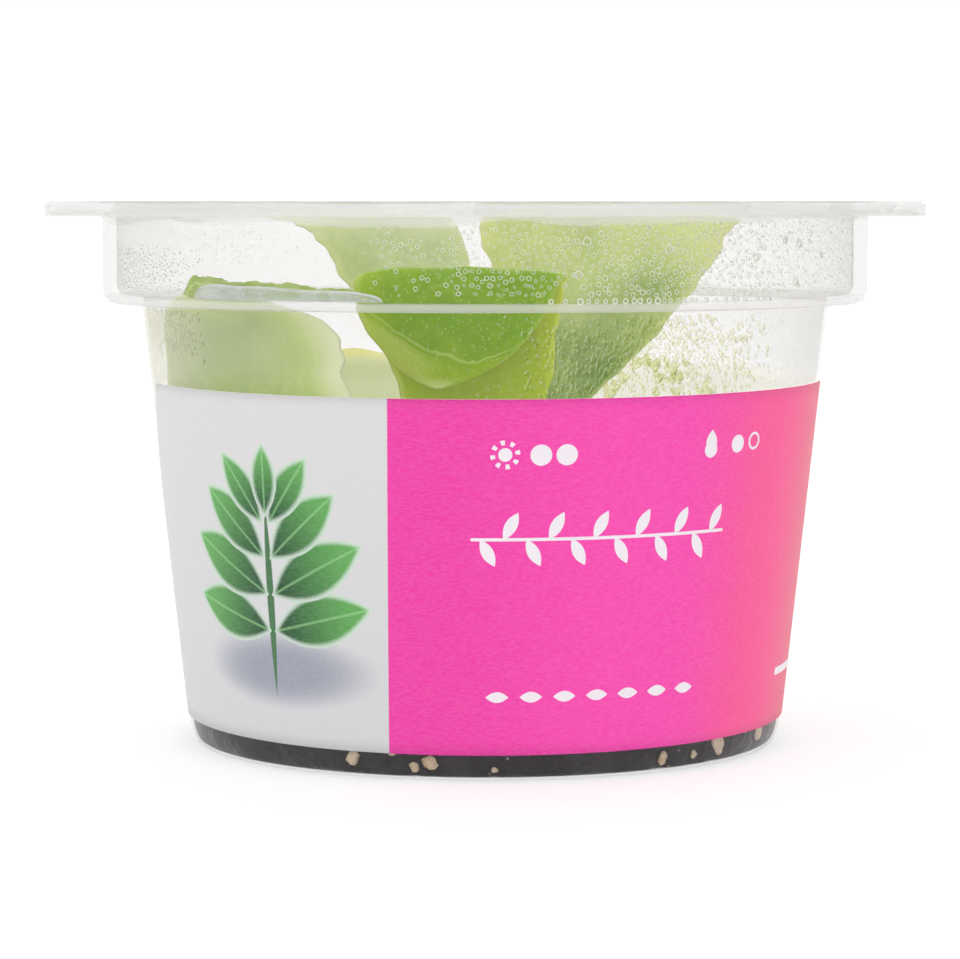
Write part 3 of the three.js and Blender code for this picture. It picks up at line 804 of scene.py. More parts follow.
def leaf_shell(leaf, rows, columns, seed, thick=0.85):
    """Points, faces and map of a leaf with a rounded margin, gentle quilting and an uneven edge.

    rows of points follow each other along the leaf, and twice the columns go round it.
    """
    blade = Blade(leaf)
    t = REACH * (1 - (1 - np.arange(rows + 1) / rows) ** 1.25)  # the rows lie closer towards the tip
    turn = 2 * math.pi * np.arange(2 * columns) / (2 * columns)
    t, turn = np.meshgrid(t, turn, indexing="ij")
    s = -np.cos(turn)
    shape = np.random.default_rng(seed)
    waves = shape.uniform(0, 2 * math.pi, 8)
    right = s > 0
    uneven = 0.012 * np.sin(t * 61 + waves[0] + right * 2) + 0.008 * np.sin(t * 117 + waves[1] + right)
    uneven += 0.010 * np.sin(t * 31 + waves[2] + right * 4)
    size = leaf["width"] / 22
    quilt = 0.16 * size * np.sin(t * 17 + 3.1 * s + waves[3]) * np.sin(5 * s + waves[4])
    quilt += 0.09 * size * np.sin(t * 37 - 6 * np.abs(s) + waves[5])
    points = blade.at(t, s * (1 - 0.012 + uneven * np.abs(s) ** 2))
    normal = blade.upward(t, np.clip(s, -0.97, 0.97))
    ends = smooth(t, -0.05, 0.05) * (1 - 0.9 * smooth(t, 0.93, REACH))
    body = 0.5 * thick * np.sign(np.sin(turn)) * np.abs(np.sin(turn)) ** 0.55 * (1 - 0.3 * s**2) * ends
    body += quilt * smooth(t, 0.05, 0.3) * (1 - np.abs(s) ** 4) * (1 - smooth(t, 0.85, 1.0))
    points = points + normal * body[..., None]
    uv = np.stack([t / REACH, (s + 1) / 2], -1)
    sides = 2 * columns
    faces = grid_faces(rows + 1, sides, closed=True, turned_over=True)
    flat_points = points.reshape(-1, 3).tolist()
    flat_uv = uv.reshape(-1, 2).tolist()
    for ring, order in ((0, 1), (rows, -1)):
        centre = len(flat_points)
        flat_points.append(points[ring].mean(axis=0).tolist())
        flat_uv.append([float(t[ring, 0] / REACH), 0.5])
        for j in range(sides):
            pair = (ring * sides + j, ring * sides + (j + 1) % sides)
            faces.append((centre, *pair[::order]))
    return flat_points, faces, flat_uv


def grow_leaf(name, leaf, finish, seed):
    """A grown leaf, in place of the solid of the same name."""
    piece = facing_out(make_mesh(name + "_blade", *leaf_shell(leaf, rows=96, columns=18, seed=seed)))
    settle(piece, name, [finish])


def grow_crown(finish):
    """The stem with the youngest leaves standing in its heart, as one piece."""
    low = SOIL_TOP - HOLE_DEPTH + 0.3
    foot = [(0, low, 0), (1.6, low, 0.6)]
    above = [(r, z, 1.0) for r, z in CROWN_PROFILE] + [(0, CROWN_TOP, 0)]
    stem = turned("stem", rounded(foot + above), 32)
    points = [tuple(v.co / MM) for v in stem.data.vertices]
    faces = [tuple(p.vertices) for p in stem.data.polygons]
    uv = [(0.1, 0.5)] * len(points)
    bpy.data.objects.remove(stem)
    for i in range(5):
        young = dict(
            bearing=6 + i * 137.5, length=12 - 1.2 * i, width=6.2 - 0.7 * i, stalk=0.4, trough=0.35,
            rise=[84, 78, 72, 64], start_r=0.9 - 0.1 * i, start_z=CROWN_TOP - 1.6 + 0.3 * i,
        )
        more_points, more_faces, more_uv = leaf_shell(young, 30, 8, seed=40 + i, thick=0.7)
        faces += [tuple(len(points) + k for k in face) for face in more_faces]
        points += more_points
        uv += more_uv
    settle(facing_out(make_mesh("crown_heart", points, faces, uv)), "crown", [finish])


# ---------------------------------------------------------------- cup, film, label, mix
CUP_INSIDE = [  # the lower part of the cavity, from the wall to the floor: radius, height, rounding
    (BODY_BASE_R - WALL, BODY_BASE, 1.0), (FOOT_OUT - 0.7 * WALL, WALL, 1.3),
    (FOOT_R - FOOT_WIDTH + 0.2, WALL, 0.4), (FOOT_R - FOOT_WIDTH - 0.5, FLOOR_RISE + WALL, 0.5),
]


def build_cup(finish):
    """The thin-walled cup, turned as one shell from the middle of its floor round the rim and back."""
    plate, lip, lip_r = FLANGE_TOP - FLANGE_PLATE, FLANGE_TOP - FLANGE_LIP + 0.3, FLANGE_R - 0.8
    corners = [
        (0, FLOOR_RISE, 0), (FOOT_R - FOOT_WIDTH - 0.6, FLOOR_RISE, 0.5), (FOOT_R - FOOT_WIDTH, 0, 0.4),
        (FOOT_OUT, 0, 1.4), (BODY_BASE_R, BODY_BASE, 1.0), (BODY_TOP_R, BODY_TOP, 0.4),
        (BODY_TOP_R + 0.4, COLLAR_BOTTOM, 0.3), (COLLAR_R, COLLAR_BOTTOM, 1.6), (COLLAR_R, plate, 0.4),
        (lip_r, plate, 0.3), (lip_r, lip, 0.1), (FLANGE_R, lip, 0.1), (FLANGE_R, FLANGE_TOP, 0.35),
        (COLLAR_INNER, FLANGE_TOP, 0.4), (COLLAR_INNER, LEDGE_TOP, 1.2),
        (body_inner(LEDGE_TOP) + 0.3, LEDGE_TOP, 0.4), (body_inner(LEDGE_TOP - 1), LEDGE_TOP - 1, 0.4),
        *CUP_INSIDE, (0, FLOOR_RISE + WALL, 0),
    ]
    settle(turned("clear_cup", rounded(corners), 192), "cup", [finish])


def build_film(finish):
    """The film lies flat on the flange, slack and faintly wrinkled over the mouth."""
    low, high = FLANGE_TOP + 0.06, FLANGE_TOP + 0.16
    radii = list(np.linspace(0, 40, 34)[1:]) + [41.5, 43, 44.5, 46, FLANGE_R - 0.4]
    profile = [(0, low)] + [(r, low) for r in radii] + [(r, high) for r in reversed(radii)] + [(0, high)]

    def slack(points):
        x, y = points[:, 0], points[:, 1]
        r, a = np.hypot(x, y), np.arctan2(y, x)
        mouth = 1 - smooth(r, 34.5, 39.5)
        wave = np.sin(0.21 * x + 0.12 * y) + 0.6 * np.sin(0.17 * y - 0.3 * x + 1)
        wave = wave + 0.35 * np.sin(0.55 * x + 0.4 * y)
        pleat = np.sin(23 * a + 2 * np.sin(3 * a)) * smooth(r, 30, 38) * (1 - smooth(r, 40, 46))
        points[:, 2] += mouth * (0.07 * wave - 0.16) + 0.04 * pleat
        return points

    settle(turned("sealing_film_sheet", profile, 192, slack), "sealing_film", [finish])


def build_label(face_finish, back_finish):
    """A thin sheet wrapped round the taper, its straight ends leaning apart at the back left."""
    corner = 1.6  # radius of the sheet's rounded corners
    length = math.radians(LABEL_END[1] - LABEL_START[1]) * body_outer(LABEL_TOP)
    share = corner / length
    near = share * (1 - np.cos(np.linspace(0, math.pi / 2, 7)[:-1]))
    along = np.concatenate([near, np.linspace(share, 1 - share, 220), (1 - near)[::-1]])
    up = np.linspace(0, 1, 25)
    v, u = np.meshgrid(up, along, indexing="ij")
    short = np.maximum(0, corner - np.minimum(u, 1 - u) * length)
    inset = corner - np.sqrt(corner**2 - short**2)
    height = LABEL_BOTTOM + inset + (LABEL_TOP - LABEL_BOTTOM - 2 * inset) * v
    h = (height - LABEL_BOTTOM) / (LABEL_TOP - LABEL_BOTTOM)
    start = LABEL_START[0] + (LABEL_START[1] - LABEL_START[0]) * h
    end = LABEL_END[0] + (LABEL_END[1] - LABEL_END[0]) * h
    a = np.radians(start + (end - start) * u)
    z = height + LABEL_RISE * (1 - np.cos(a))

    face_out, back_out = 0.22, 0.08  # how far its two sides lie off the body
    face, back = (at_bearing(body_outer(z) + out, a, z) for out in (face_out, back_out))
    piece = sheet("wrapped_label", face, back, np.stack([a * LABEL_PRINT_R, height], -1))
    settle(piece, "label", [face_finish, back_finish])
    middle = np.array([p.center[:] for p in piece.data.polygons]) / MM
    off_body = np.hypot(middle[:, 0], middle[:, 1]) - body_outer(middle[:, 2])
    piece.data.polygons.foreach_set("material_index", (off_body < face_out - 0.05).astype(np.int32))


LUMPS = [(0.4, 0.31, 0.22, 1.3), (0.35, 0.62, -0.5, 2.1), (0.25, -0.4, 0.9, 0.2)]


def soil_height(x, y):
    """The gently lumpy top of the mix."""
    return SOIL_TOP + sum(0.7 * share * np.sin(kx * x + ky * y + turn) for share, kx, ky, turn in LUMPS)


def rough(points, per_mm, seed):
    """Noise from -1 to 1 at each point."""
    off = Vector((seed * 7.3, seed * 3.1, seed * 1.7))
    return np.array([noise.noise(Vector(p) * per_mm + off) for p in points])


GRAINS = [  # pale stones against the wall below the label: bearing, height, half width, half height
    (-25.5, 2.0, 0.72, 0.8), (-17.4, 2.95, 0.5, 0.5), (-13.2, 1.35, 0.52, 0.55),
    (-10.3, 1.9, 0.75, 0.72), (1.7, 1.2, 0.35, 0.3), (35.4, 1.5, 0.55, 0.75),
    (43.3, 1.5, 0.42, 0.45), (50.2, 2.0, 1.0, 1.0), (67, 2.2, 1.2, 0.8),
]


def mix_side(z):
    """Inside radius of the thin wall beside the mix, down to the bend of its foot."""
    return np.where(z < BODY_BASE, BODY_BASE_R - WALL - 0.4 * (BODY_BASE - z), body_inner(z))


def build_medium(finish):
    """The crumbly mix, filling the cup to its wall, with the hole in which the crown stands."""
    gap = 0.05  # between the mix and the cup
    floor = [(r - gap, z + gap, rounding) for r, z, rounding in reversed(CUP_INSIDE)]
    start = [(0, FLOOR_RISE + WALL + gap, 0), *floor, (body_inner(2.4) - gap, 2.4, 0)]
    profile = [tuple(p) for p in rounded(start)]
    profile += [(body_inner(z) - gap, z) for z in np.linspace(2.8, SOIL_TOP - 0.6, 40)]
    rim = body_inner(SOIL_TOP) - gap
    profile += [(r, SOIL_TOP) for r in np.linspace(rim - 0.2, HOLE_R + 0.15, 52)]
    profile += [(HOLE_R, SOIL_TOP - 0.4), (HOLE_R, SOIL_TOP - HOLE_DEPTH), (0, SOIL_TOP - HOLE_DEPTH)]

    def crumble(points):
        x, y, z = points.T
        r = np.hypot(x, y)
        top = (z > SOIL_TOP - 0.05) & (r > HOLE_R + 0.05)
        lumps = rough(points, 0.5, 1) * 0.5 + rough(points, 1.4, 2) * 0.3
        lumps = lumps * smooth(r, HOLE_R + 0.15, 6) * (1 - smooth(r, 33, 34.2))
        height = soil_height(x, y) + lumps
        points[:, 2] = np.where(top, height, z)
        side = (points[:, 2] > 2.5) & (r > 30.8) & ~top
        inward = np.clip(rough(points, 0.8, 3) * 0.5 - 0.02, 0, 0.4) * side
        side_r = 32
        for bearing, level, wide, tall in GRAINS:  # the mix gives way where a stone lies at the wall
            beside = (np.arctan2(x, -y) * side_r - math.radians(bearing) * side_r) / (wide + 0.5)
            away = np.hypot(beside, (points[:, 2] - level) / (tall + 0.5))
            inward = np.maximum(inward, 0.42 * (r > 30.4) * ~top * (1 - smooth(away, 0.9, 1.5)))
        points[:, :2] *= (1 - inward / np.maximum(r, 1))[:, None]
        return points

    settle(turned("peat_mix", profile, 220, crumble), "growing_medium", [finish])


# ---------------------------------------------------------------- scattered small things
def bead(name, flatness, rings, sides, stretch=1.0, sway=0.0):
    """A small dome of radius 1 mm on its flat foot, its own Z pointing away from the wall."""
    points, rim = [], []  # rim: 1 at the foot, falling to 0 at the tip
    for i in range(rings):
        lift = math.pi / 2 * i / rings
        for k in range(sides):
            a = 2 * math.pi * k / sides
            wide = math.cos(lift) * (1 + sway * math.sin(2 * a + 1) + sway * math.sin(3 * a))
            points.append((wide * math.cos(a), wide * math.sin(a) * stretch, math.sin(lift) * flatness))
            rim.append(math.cos(lift))
    top, tip, foot = (rings - 1) * sides, rings * sides, rings * sides + 1
    points += [(0, 0, flatness), (0, 0, 0)]
    faces = grid_faces(rings, sides, closed=True)
    for k in range(sides):
        n = (k + 1) % sides
        faces += [(top + k, top + n, tip), (n, k, foot)]
    shape = make_mesh(name, points, faces, attributes=[("rim", rim + [0, 0])])
    foot_edges = [max(e.vertices) < sides for e in shape.data.edges]
    shape.data.attributes.new("sharp_edge", "BOOLEAN", "EDGE").data.foreach_set("value", foot_edges)
    return shape


def pebble(name, seed):
    """An angular grain of radius 1 mm, flattened, with a few dozen faces."""
    work = bmesh.new()
    bmesh.ops.create_icosphere(work, subdivisions=2, radius=1.0)
    for v in work.verts:
        bulge = noise.noise(v.co * 1.1 + Vector((seed, 0, 0))) * 0.55
        v.co *= 1 + bulge
        v.co.z *= 0.7
    points = [tuple(v.co) for v in work.verts]
    faces = [tuple(v.index for v in face.verts) for face in work.faces]
    work.free()
    return make_mesh(name, points, faces)


def scatter_tree(name):
    """Spreads copies of a small shape over a surface, by the surface's own share, in seeded sizes."""
    tree = bpy.data.node_groups.new(name, "GeometryNodeTree")
    inputs = {
        "Surface": "Geometry", "Shape": "Object", "Finish": "Material", "Spacing": "Float",
        "Number": "Float", "Smallest": "Float", "Largest": "Float", "Swing": "Float", "Seed": "Int",
    }
    for label, kind in inputs.items():
        tree.interface.new_socket(label, in_out="INPUT", socket_type="NodeSocket" + kind)
    tree.interface.new_socket("Pieces", in_out="OUTPUT", socket_type="NodeSocketGeometry")

    def add(kind, settings=None, sockets=None):
        node = tree.nodes.new(kind)
        for key, setting in (settings or {}).items():
            setattr(node, key, setting)
        for key, value in (sockets or {}).items():
            node.inputs[key].default_value = value
        return node

    given, end = add("NodeGroupInput"), add("NodeGroupOutput")
    share = add("GeometryNodeInputNamedAttribute", {"data_type": "FLOAT"}, {"Name": "share"})
    spread = add("GeometryNodeDistributePointsOnFaces", {"distribute_method": "POISSON"})
    size = add("FunctionNodeRandomValue", {"data_type": "FLOAT"})
    swing = add("FunctionNodeRandomValue", {"data_type": "FLOAT"})
    back = add("ShaderNodeMath", {"operation": "MULTIPLY"}, {1: -1})
    turn = add("FunctionNodeAxisAngleToRotation", None, {"Axis": (0, 0, 1)})
    spin = add("FunctionNodeRotateRotation", {"rotation_space": "LOCAL"})
    shape = add("GeometryNodeObjectInfo", {"transform_space": "ORIGINAL"})
    copies = add("GeometryNodeInstanceOnPoints")
    real = add("GeometryNodeRealizeInstances")
    dress = add("GeometryNodeSetMaterial")
    links = [
        # where they lie
        (given, "Surface", spread, "Mesh"), (given, "Spacing", spread, "Distance Min"),
        (given, "Number", spread, "Density Max"), (share, "Attribute", spread, "Density Factor"),
        (given, "Seed", spread, "Seed"),
        # how large they are, from inputs 2 to 3 of the random value, and how far they are turned
        (given, "Smallest", size, 2), (given, "Largest", size, 3), (given, "Seed", size, "Seed"),
        (given, "Swing", back, 0), (back, 0, swing, 2), (given, "Swing", swing, 3),
        (swing, 1, turn, "Angle"), (spread, "Rotation", spin, 0), (turn, 0, spin, 1),
        # the copies themselves
        (given, "Shape", shape, "Object"), (spread, "Points", copies, "Points"),
        (shape, "Geometry", copies, "Instance"), (spin, 0, copies, "Rotation"),
        (size, 1, copies, "Scale"), (copies, 0, real, 0), (real, 0, dress, "Geometry"),
        (given, "Finish", dress, "Material"), (dress, 0, end, "Pieces"),
    ]
    for source, out, target, into in links:
        tree.links.new(source.outputs[out], target.inputs[into])
    return tree


SCATTER = scatter_tree("scattered pieces")


def scatter(name, surface, shape, finish, slot_name, spacing, per_cm2, sizes, swing=math.pi, *, seed):
    """Strews the shape over the surface's own object and keeps the result as a plain mesh."""
    spread = surface.modifiers.new("strewn", "NODES")
    spread.node_group = SCATTER
    per_m2 = per_cm2 * 1e4
    values = {
        "Shape": shape, "Finish": finish, "Spacing": spacing * MM, "Number": per_m2,
        "Smallest": sizes[0], "Largest": sizes[1], "Swing": swing, "Seed": seed,
    }
    for item in SCATTER.interface.items_tree:
        if item.name in values:
            spread[item.identifier] = values[item.name]
    graph = bpy.context.evaluated_depsgraph_get()
    mesh = bpy.data.meshes.new_from_object(surface.evaluated_get(graph), depsgraph=graph)
    mesh.name = name
    surface.modifiers.remove(spread)
    bpy.data.objects.remove(surface)
    piece = bpy.data.objects.new(name, mesh)
    scene.collection.objects.link(piece)
    settle(piece)


def ground(name, a, r, z, share, turned_over=False):
    """A surface to strew pieces over, from grids of its bearing, radius and height.

    share: grid of how densely the pieces lie, from 0 to 1.
    """
    share = np.clip(share, 0, 1).ravel()
    points = at_bearing(r, a, z).reshape(-1, 3)
    faces = grid_faces(*a.shape, turned_over=turned_over)
    return make_mesh(name, points, faces, attributes=[("share", share)])


def band(name, low, high, radius, share, rows=24):
    """A strip of wall all the way round, whose faces look towards the axis."""
    bearings = np.radians(np.arange(-180, 181, 1.5))
    a, z = np.meshgrid(bearings, np.linspace(low, high, rows), indexing="xy")
    return ground(name, a, radius(z), z, share(np.degrees(a), z), turned_over=True)


def mix_top(inner, outer):
    """The top of the mix, whose faces look up."""
    r, a = np.meshgrid(np.linspace(inner, outer, 24), np.radians(np.arange(-180, 181, 3)), indexing="ij")
    height = soil_height(r * np.sin(a), -r * np.cos(a)) + 0.1
    return ground("mix top", a, r, height, np.ones_like(a))


def around(a, centre, width):
    """1 at a bearing, falling to 0 at width degrees from it."""
    gap = np.abs((a - centre + 180) % 360 - 180)
    return 1 - smooth(gap, 0.4 * width, width)


def patch(a, z, centre, width, height, depth):
    """1 near a bearing and height on the wall, falling to 0 at width degrees and depth mm from them."""
    return around(a, centre, width) * (1 - smooth(np.abs(z - height), 0.4 * depth, depth))


def build_drops(dewy, bright_dewy, running, left_running, blot):
    """Dew, mist, running drops and blots on the inside of the collar and of the body."""
    round_drop = bead("round drop", 0.55, rings=4, sides=10)
    long_drop = bead("long drop", 0.42, rings=4, sides=9, stretch=1.7, sway=0.16)
    broad_drop = bead("broad drop", 0.36, rings=3, sides=11, stretch=1.25, sway=0.28)
    collar = lambda z: np.full_like(z, COLLAR_INNER - 0.02)
    ledge = lambda z: collar(z) - 0.5
    body = lambda z: body_inner(z) - 0.02

    def strew(name, drop, finish, place, *spread, **settings):
        """place: the wall, its lowest and highest height, the share of drops there and its rows."""
        wall, low, high, share, *rows = place
        surface = band(name + " wall", low, high, wall, share, *rows)
        scatter(name, surface, drop, finish, "clear_film", *spread, **settings)

    def between(low, high, share):
        """The share, falling to nothing beyond two bearings."""
        return lambda a, z: smooth(a, low, low + 4) * (1 - smooth(a, high - 4, high)) * share(a, z)

    def grouped(a, z):
        groups = patch(a, z, -14, 5, 55.4, 2.6) + patch(a, z, 2, 11, 50.8, 2)
        groups = groups + patch(a, z, 9, 9, 54.6, 4)
        return 0.3 + 0.7 * (groups + patch(a, z, -2.5, 3.5, 54.5, 4))

    def dripping(a, z):
        main = 0.9 * patch(a, z, 22, 17, 42.4, 4.8) + 1.3 * patch(a, z, 30, 11, 45.2, 2.8)
        return main + 0.7 * patch(a, z, 42, 12, 42.6, 5) + 0.5 * patch(a, z, 9, 4, 44.6, 3)

    def misting(a, z):
        return 0.6 * patch(a, z, -40, 9, 54.6, 3) + 0.4 * around(a, 24, 40) + 0.02

    low, high = 49.3, 57.6  # just above the ledge and just under the film
    shoulder = 47.2
    front = (collar, low, high, between(-18, 15, grouped))
    right = (collar, low, high, between(11, 62, lambda a, z: 1 - 0.9 * smooth(a, 32, 60)))
    far_right = (collar, low, high, between(26, 92, lambda a, z: 0.75 * smooth(a, 26, 50)))
    behind = (collar, low, high, between(130, 179, lambda a, z: np.full_like(a, 0.12)))
    large = (collar, 50.4, 57.0, lambda a, z: 0.9 * around(a, 32, 34))
    misted = (collar, low, 57.8, misting)
    left_misted = (collar, low, 56.5, lambda a, z: patch(a, z, -66, 22, 51.2, 3.6))
    on_ledge = (ledge, 48.72, 48.78, lambda a, z: around(a, 27, 26), 3)
    dripped = (body, LABEL_TOP, shoulder, dripping)
    left_dripped = (body, LABEL_TOP, shoulder, lambda a, z: patch(a, z, -66, 16, 45.2, 3.4))
    blotted = (body, LABEL_TOP + 0.4, 44.5, lambda a, z: patch(a, z, 30, 13, 41, 3))
    hazed = (body, LABEL_TOP - 1, shoulder, lambda a, z: around(a, 34, 40) * 0.7 + 0.03)

    # name, drop, finish, place, least spacing, drops to the square centimetre, sizes, swing
    strew("front_dew", round_drop, dewy, front, 0.56, 900, (0.14, 0.26), seed=3)
    strew("right_dew", round_drop, dewy, right, 0.6, 900, (0.16, 0.31), seed=4)
    strew("far_right_dew", round_drop, dewy, far_right, 0.44, 900, (0.08, 0.15), seed=6)
    strew("back_dew", round_drop, dewy, behind, 0.7, 900, (0.13, 0.24), seed=7)
    strew("collar_large_drops", round_drop, dewy, large, 2.6, 8, (0.36, 0.5), seed=17)
    strew("collar_mist", round_drop, dewy, misted, 0.3, 700, (0.07, 0.12), seed=5)
    strew("left_collar_mist", round_drop, left_running, left_misted, 0.3, 800, (0.06, 0.12), seed=15)
    strew("ledge_beads", round_drop, bright_dewy, on_ledge, 0.6, 9000, (0.22, 0.36), seed=14)
    strew("wall_drips", long_drop, running, dripped, 0.38, 820, (0.11, 0.27), 0.5, seed=8)
    strew("left_drips", long_drop, left_running, left_dripped, 0.36, 700, (0.1, 0.2), 0.4, seed=21)
    strew("wall_blots", broad_drop, blot, blotted, 0.8, 90, (0.32, 0.7), 0.9, seed=31)
    strew("wall_mist", round_drop, dewy, hazed, 0.42, 260, (0.06, 0.12), seed=9)
    for pattern in (round_drop, long_drop, broad_drop):
        bpy.data.objects.remove(pattern)


def build_grit(finish):
    """Pale grains in the side and the top of the mix, and larger ones where the wall shows them."""
    grain = pebble("grain", 3.0)
    behind_wall = lambda z: body_inner(z) - 0.62
    even = lambda a, z: np.ones_like(a)
    surface = band("mix side", BODY_BASE, SOIL_TOP - 0.5, behind_wall, even)
    scatter("side_grit", surface, grain, finish, "growing_medium", 2.4, 2.2, (0.25, 0.6), seed=21)
    scatter("top_grit", mix_top(5, 33), grain, finish, "growing_medium", 2.0, 6, (0.3, 0.85), seed=22)
    bpy.data.objects.remove(grain)
    sunk, depth = 0.32, 0.3  # how far a placed stone's middle lies behind the wall, and its half depth
    for number, (bearing, level, wide, tall) in enumerate(GRAINS):
        stone = pebble("placed_grain_%d" % (number + 1), 5.0 + number)
        c = math.radians(bearing)
        away = np.array([math.sin(c), -math.cos(c), 0])
        side = np.array([math.cos(c), math.sin(c), 0])
        middle = away * (float(mix_side(level)) - sunk) + UP * level
        for v in stone.data.vertices:
            x, y, z = np.array(v.co) / MM
            v.co = (middle + side * x * wide + UP * y * tall + away * z * depth) * MM
        settle(stone, finishes=[finish])


def build_pool(finish):
    """Water lying on the collar's ledge at the front left, its ends drawn in to the wall."""
    low, high = -49.5, -15.2  # bearings of its ends
    outer = COLLAR_INNER - 0.18
    corner = 0.98  # how far the ledge's rounded corner keeps the water off the wall
    floor = LEDGE_TOP + 0.05
    rows = []
    for a in np.linspace(low, high, 120):
        f = (a - low) / (high - low)
        ends = (1 - abs(2 * f - 1) ** 9) ** 0.5 if 0 < f < 1 else 0.0
        ends = max(ends, 0.04)
        tall = (1.75 - 0.85 * f + 0.06 * math.sin(16 * f + 1)) * ends
        deep = (1.62 + 0.1 * math.sin(9 * f)) * ends
        near = outer - corner * (1 - ends)
        ring = [(outer - corner, floor), (near - 0.21 * ends, floor + 0.2 * tall)]
        for k in range(13):
            g = math.pi / 2 * k / 12
            back = near - deep + deep * math.cos(g) ** 0.5
            ring.append((back, floor + 0.5 * tall * (1 + math.sin(g) ** 0.8)))
        ring += [(near - deep, floor + 0.4 * tall), (near - deep + 0.25 * ends, floor)]
        r, z = np.array(ring).T
        rows.append(at_bearing(r, math.radians(a), z))
    columns = len(ring)
    faces = grid_faces(len(rows), columns, closed=True)
    last = (len(rows) - 1) * columns
    faces += [tuple(range(columns)), tuple(last + j for j in reversed(range(columns)))]
    piece = facing_out(make_mesh("ledge_pool", np.concatenate(rows), faces))
    settle(piece, finishes=[finish])


def build_torn_margin(finish):
    """A torn strip of a leaf's margin that stands on the ledge behind the water."""
    foot, half_thick = LEDGE_TOP + 0.12, 0.16
    f = np.linspace(0, 1, 150)
    a = np.radians(-55.5 + 37 * f)
    ragged = 0.12 * np.sin(13 * f) + 0.09 * np.sin(29 * f + 1)
    ragged = ragged + 0.06 * np.sin(67 * f + 2) + 0.04 * np.sin(149 * f)
    tall = (2.15 - 1.15 * f + ragged) * smooth(f, -0.02, 0.1) * (1 - smooth(f, 0.92, 1.02))
    share = np.linspace(0, 1, 6)[:, None]
    z = foot + (LEDGE_TOP + 0.3 + tall - foot)[None, :] * share
    uv = np.stack([np.full(z.shape, 0.25), 0.3 + 0.3 * np.broadcast_to(share, z.shape)], -1)
    r = 37.1 + 0.5 * share**2 + 0.15 * np.sin(23 * f)[None, :] * share
    outer, inner = at_bearing(r + half_thick, a, z), at_bearing(r - half_thick, a, z)
    settle(facing_out(sheet("torn_leaf_margin", outer, inner, uv)), finishes=[finish])


# ---------------------------------------------------------------- assembly
build_cup(clear_plastic())
build_film(clear_film())
build_label(label_print(), paper_back())
build_medium(medium_finish())

front_green = leaf_finish(
    "front leaf", (166, 192, 40), (200, 214, 70), (214, 230, 140),
    folded=(0.72, (122, 166, 0), (156, 188, 24)),
)
left_green = leaf_finish(
    "left leaf", (142, 168, 86), (216, 232, 160), (230, 236, 200), hem=0.22, ramp=(0.72, 1.12)
)
tall_left_green = leaf_finish(
    "tall left leaf", (146, 174, 84), (246, 250, 212), (228, 234, 190), rim=0.4
)
tall_right_green = leaf_finish(
    "tall right leaf", (98, 138, 26), (230, 238, 172), (224, 230, 180), rim=0.4, ramp=(0.45, 0.98)
)
# the far leaf is painted paler than the others: painted light for the light that shines through it from
# behind
far_green = leaf_finish("far leaf", (216, 224, 168), (228, 232, 194), (255, 250, 160), rim=0.9, hem=0.3)
low_green = leaf_finish("lower leaves", (110, 158, 34), (168, 202, 78), (204, 222, 128), rim=0.6)
heart_green = leaf_finish("heart leaves", (138, 182, 48), (192, 218, 96), (214, 228, 130))
finishes = {
    "leaf_front": front_green, "leaf_left": left_green,
    "leaf_back_left": tall_left_green, "leaf_back_right": tall_right_green, "leaf_back": far_green,
}
for number, (name, leaf) in enumerate(LEAVES.items()):
    grow_leaf(name, leaf, finishes.get(name, low_green), number)
grow_crown(heart_green)
build_drops(
    dewy=dew("dew", 0.62, 0.66),
    bright_dewy=dew("ledge dew", 0.4, 0.85),
    running=trickle("trickle", (0.95, 0.955, 0.87), 0.6, 0.8),
    left_running=trickle("side trickle", (0.76, 0.78, 0.68), 1.0, 0.2),
    blot=trickle("blot", (0.92, 0.94, 0.78), 0.6, 0.8),
)
build_grit(grit_finish())
build_pool(pool_water())
build_torn_margin(tall_left_green)


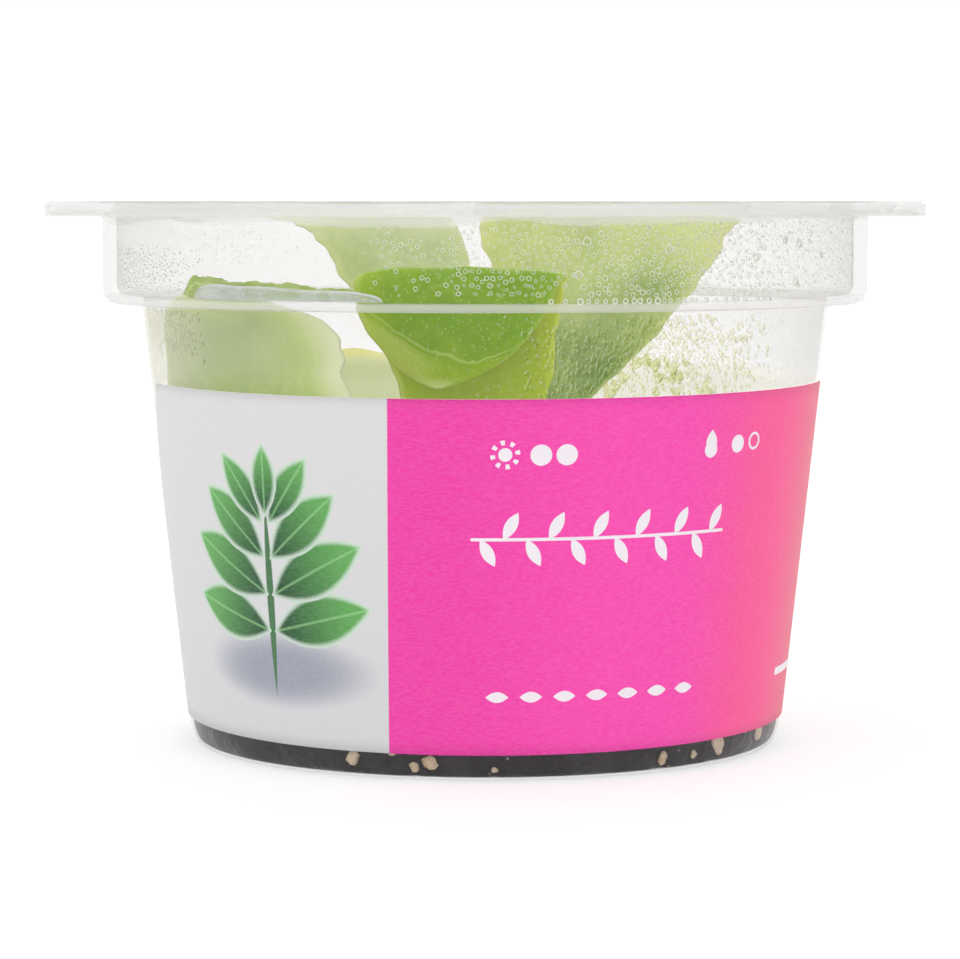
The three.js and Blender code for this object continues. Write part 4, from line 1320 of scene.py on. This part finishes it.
# ---------------------------------------------------------------- floor, light and camera
def softbox(name, spot, aim, size, power):
    """A square light of so many metres and watts, turned from its spot towards its aim."""
    lamp = bpy.data.lights.new(name, "AREA")
    lamp.shape = "SQUARE"
    lamp.size = size
    lamp.energy = power
    placed = bpy.data.objects.new(name, lamp)
    placed.location = spot
    placed.rotation_euler = (Vector(aim) - Vector(spot)).to_track_quat("-Z", "Y").to_euler()
    scene.collection.objects.link(placed)


def build_stage():
    """A wide white floor under an even sky, with a soft light before the cup and one behind it."""
    half = 12000  # of the floor's width
    corners = [(-half, -half, 0), (half, -half, 0), (half, half, 0), (-half, half, 0)]
    floor = make_mesh("floor", corners, [(0, 1, 2, 3)])
    floor.data.materials.append(floor_finish())
    world = bpy.data.worlds.new("studio")
    world.use_nodes = True
    sky = world.node_tree.nodes["Background"]
    sky.inputs["Color"].default_value = (1, 1, 1, 1)
    sky.inputs["Strength"].default_value = 1.02
    scene.world = world
    softbox("key", (-0.45, -0.55, 0.65), (0, 0, 0.03), 0.5, 1.0)
    softbox("back", (0.3, 0.7, 0.6), (0, 0, 0.04), 0.6, 0.9)


def build_camera():
    """Level with the rim and looking slightly down."""
    focal_pixels, picture_width = 3637.9, 960
    downward = 4.393  # degrees
    lens = bpy.data.cameras.new("camera")
    lens.sensor_width = 36.0
    lens.lens = focal_pixels / picture_width * lens.sensor_width
    lens.clip_start = 0.01
    camera = bpy.data.objects.new("camera", lens)
    camera.location = (-0.000545, -0.3962, 0.0587)
    camera.rotation_euler = (math.radians(90 - downward), 0, 0)
    scene.collection.objects.link(camera)
    scene.camera = camera


build_stage()
build_camera()
scene.view_settings.view_transform = "Standard"
scene.view_settings.look = "None"
scene.cycles.adaptive_threshold = 0.04
scene.cycles.adaptive_min_samples = 12
scene.cycles.max_bounces = 5
scene.cycles.diffuse_bounces = 3
scene.cycles.glossy_bounces = 3
scene.cycles.transmission_bounces = 4
scene.cycles.transparent_max_bounces = 48
scene.cycles.caustics_reflective = False
scene.cycles.caustics_refractive = False
